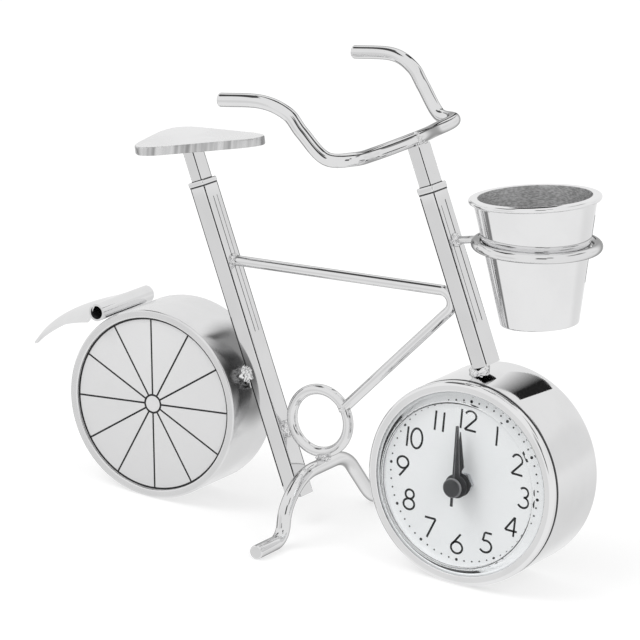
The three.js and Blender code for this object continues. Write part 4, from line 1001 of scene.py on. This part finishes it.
cards = {  # black cards that only metal sees: middle, facing, half sizes, soft edge and how dark
    "drumCard": {"at": (131.5, 60, 100), "towards": (0, 1, 0), "sideways": (1, 0, 0), "wide": 5.5, "fade": 26.0,
                 "deep": 12.0, "cover": 1.0},
    "barCard": {"at": onLine(headFoot, posts["barRise"]) + [-38, 123, 69], "towards": (-0.236, 0.851, 0.469),
                "sideways": (1, 0, 0), "wide": 9.0, "fade": 4.0, "deep": 58.0, "cover": 1.0},
}


def makeWorld():
    world = bpy.data.worlds.new("studioWorld")
    bpy.context.scene.world = world
    world.use_nodes = True
    tree = world.node_tree

    def sum3(operation, a, b=0.0, c=0.0):
        return addNode(tree, "Math", {0: a, 1: b, 2: c}, operation=operation)["Value"]

    parts = addNode(tree, "SeparateXYZ", {"Vector": addNode(tree, "TexCoord")["Generated"]})
    azimuth = sum3("ARCTAN2", parts["X"], sum3("MULTIPLY", parts["Y"], -1.0))
    elevation = sum3("ARCSINE", parts["Z"])

    def inside(value, half, soft):
        # one within the half size, falling to nothing over the soft edge
        return smoothRange(tree, sum3("ABSOLUTE", value), radians(half + soft), radians(half))

    bright = None
    for gap in darkGaps:
        turn = sum3("WRAP", sum3("SUBTRACT", azimuth, radians(gap["at"][0])), pi, -pi)
        rise = sum3("SUBTRACT", elevation, radians(gap["at"][1]))
        mask = sum3("MULTIPLY", inside(turn, gap["half"][0], gap["soft"]),
                    inside(rise, gap["half"][1], gap["soft"]))
        clear = sum3("SUBTRACT", 1.0, sum3("MULTIPLY", mask, gap["depth"]))
        bright = clear if bright is None else sum3("MULTIPLY", bright, clear)
    rays = addNode(tree, "LightPath")
    seen = sum3("MAXIMUM", rays["Is Camera Ray"], rays["Is Transmission Ray"])
    glossy = sum3("MULTIPLY", sum3("MULTIPLY", bright, studio["glossy"]), rays["Is Glossy Ray"])
    plain = sum3("MULTIPLY", sum3("SUBTRACT", 1.0, rays["Is Glossy Ray"]), studio["diffuse"])
    strength = sum3("MAXIMUM", sum3("ADD", glossy, plain), seen)
    feed(tree, tree.nodes["Background"], {"Strength": strength, "Color": (1, 1, 1, 1)})


def stageBoard(name, corners, faces, material):
    mesh = bpy.data.meshes.new(name)
    mesh.from_pydata(corners, [], faces)
    mesh.materials.append(material)
    return addObject(name, mesh)


def makeFloor():
    size, low = studio["floorSize"], studio["floorZ"]
    material, tree, shader = newMaterial("paleFloor")
    feed(tree, shader, {"Base Color": (*[studio["floorTone"]] * 3, 1), "Roughness": studio["floorRough"]})
    seen = addNode(tree, "LightPath")["Is Camera Ray"]
    level = addNode(tree, "Math", {0: seen, 1: studio["floorGlow"]}, operation="MULTIPLY")["Value"]
    glow = addNode(tree, "Emission", {"Strength": level})["Emission"]
    both = addNode(tree, "AddShader", {0: shader.outputs["BSDF"], 1: glow})["Shader"]
    feed(tree, tree.nodes["Material Output"], {"Surface": both})
    floor = stageBoard("paleFloor", [(-size, -size, low), (size, -size, low), (size, size, low), (-size, size, low)],
                       [(0, 1, 2, 3)], material)
    floor.visible_glossy = False


def makeCards():
    material, tree, shader = newMaterial("blackCard")
    feed(tree, shader, {"Base Color": (*[studio["cardTone"]] * 3, 1), "Roughness": 1.0,
                        "Alpha": addNode(tree, "Attribute", attribute_name="cover")["Fac"]})
    for name, c in cards.items():
        towards = unit(np.array(c["towards"]))
        sideways = np.array(c["sideways"], float)
        sideways = unit(sideways - np.dot(sideways, towards) * towards)
        upwards = np.cross(towards, sideways)
        u = np.array([-c["wide"] - c["fade"], -c["wide"], c["wide"]])[:, None, None]
        v = np.array([-c["deep"], c["deep"]])[None, :, None]
        points = (np.array(c["at"]) + u * sideways + v * upwards) * mm + shift
        board = stageBoard(name, points.reshape(-1, 3).tolist(), [(0, 1, 3, 2), (2, 3, 5, 4)], material)
        board.data.attributes.new("cover", "FLOAT", "POINT").data.foreach_set("value", [0, 0] + [c["cover"]] * 4)
        board.visible_camera = board.visible_diffuse = board.visible_shadow = board.visible_transmission = False


def makeLamps():
    for name, entry in lamps.items():
        data = bpy.data.lights.new(name, "AREA")
        data.energy, data.size = entry["power"], entry["size"]
        lamp = addObject(name, data)
        lamp.location = entry["at"]
        lamp.rotation_mode = "QUATERNION"
        lamp.rotation_quaternion = (Vector(studio["lit"]) - lamp.location).to_track_quat("-Z", "Y")
        lamp.visible_glossy = False


makeWorld()
makeFloor()
makeCards()
makeLamps()
bpy.context.scene.view_settings.view_transform = "Standard"
print("studio made")
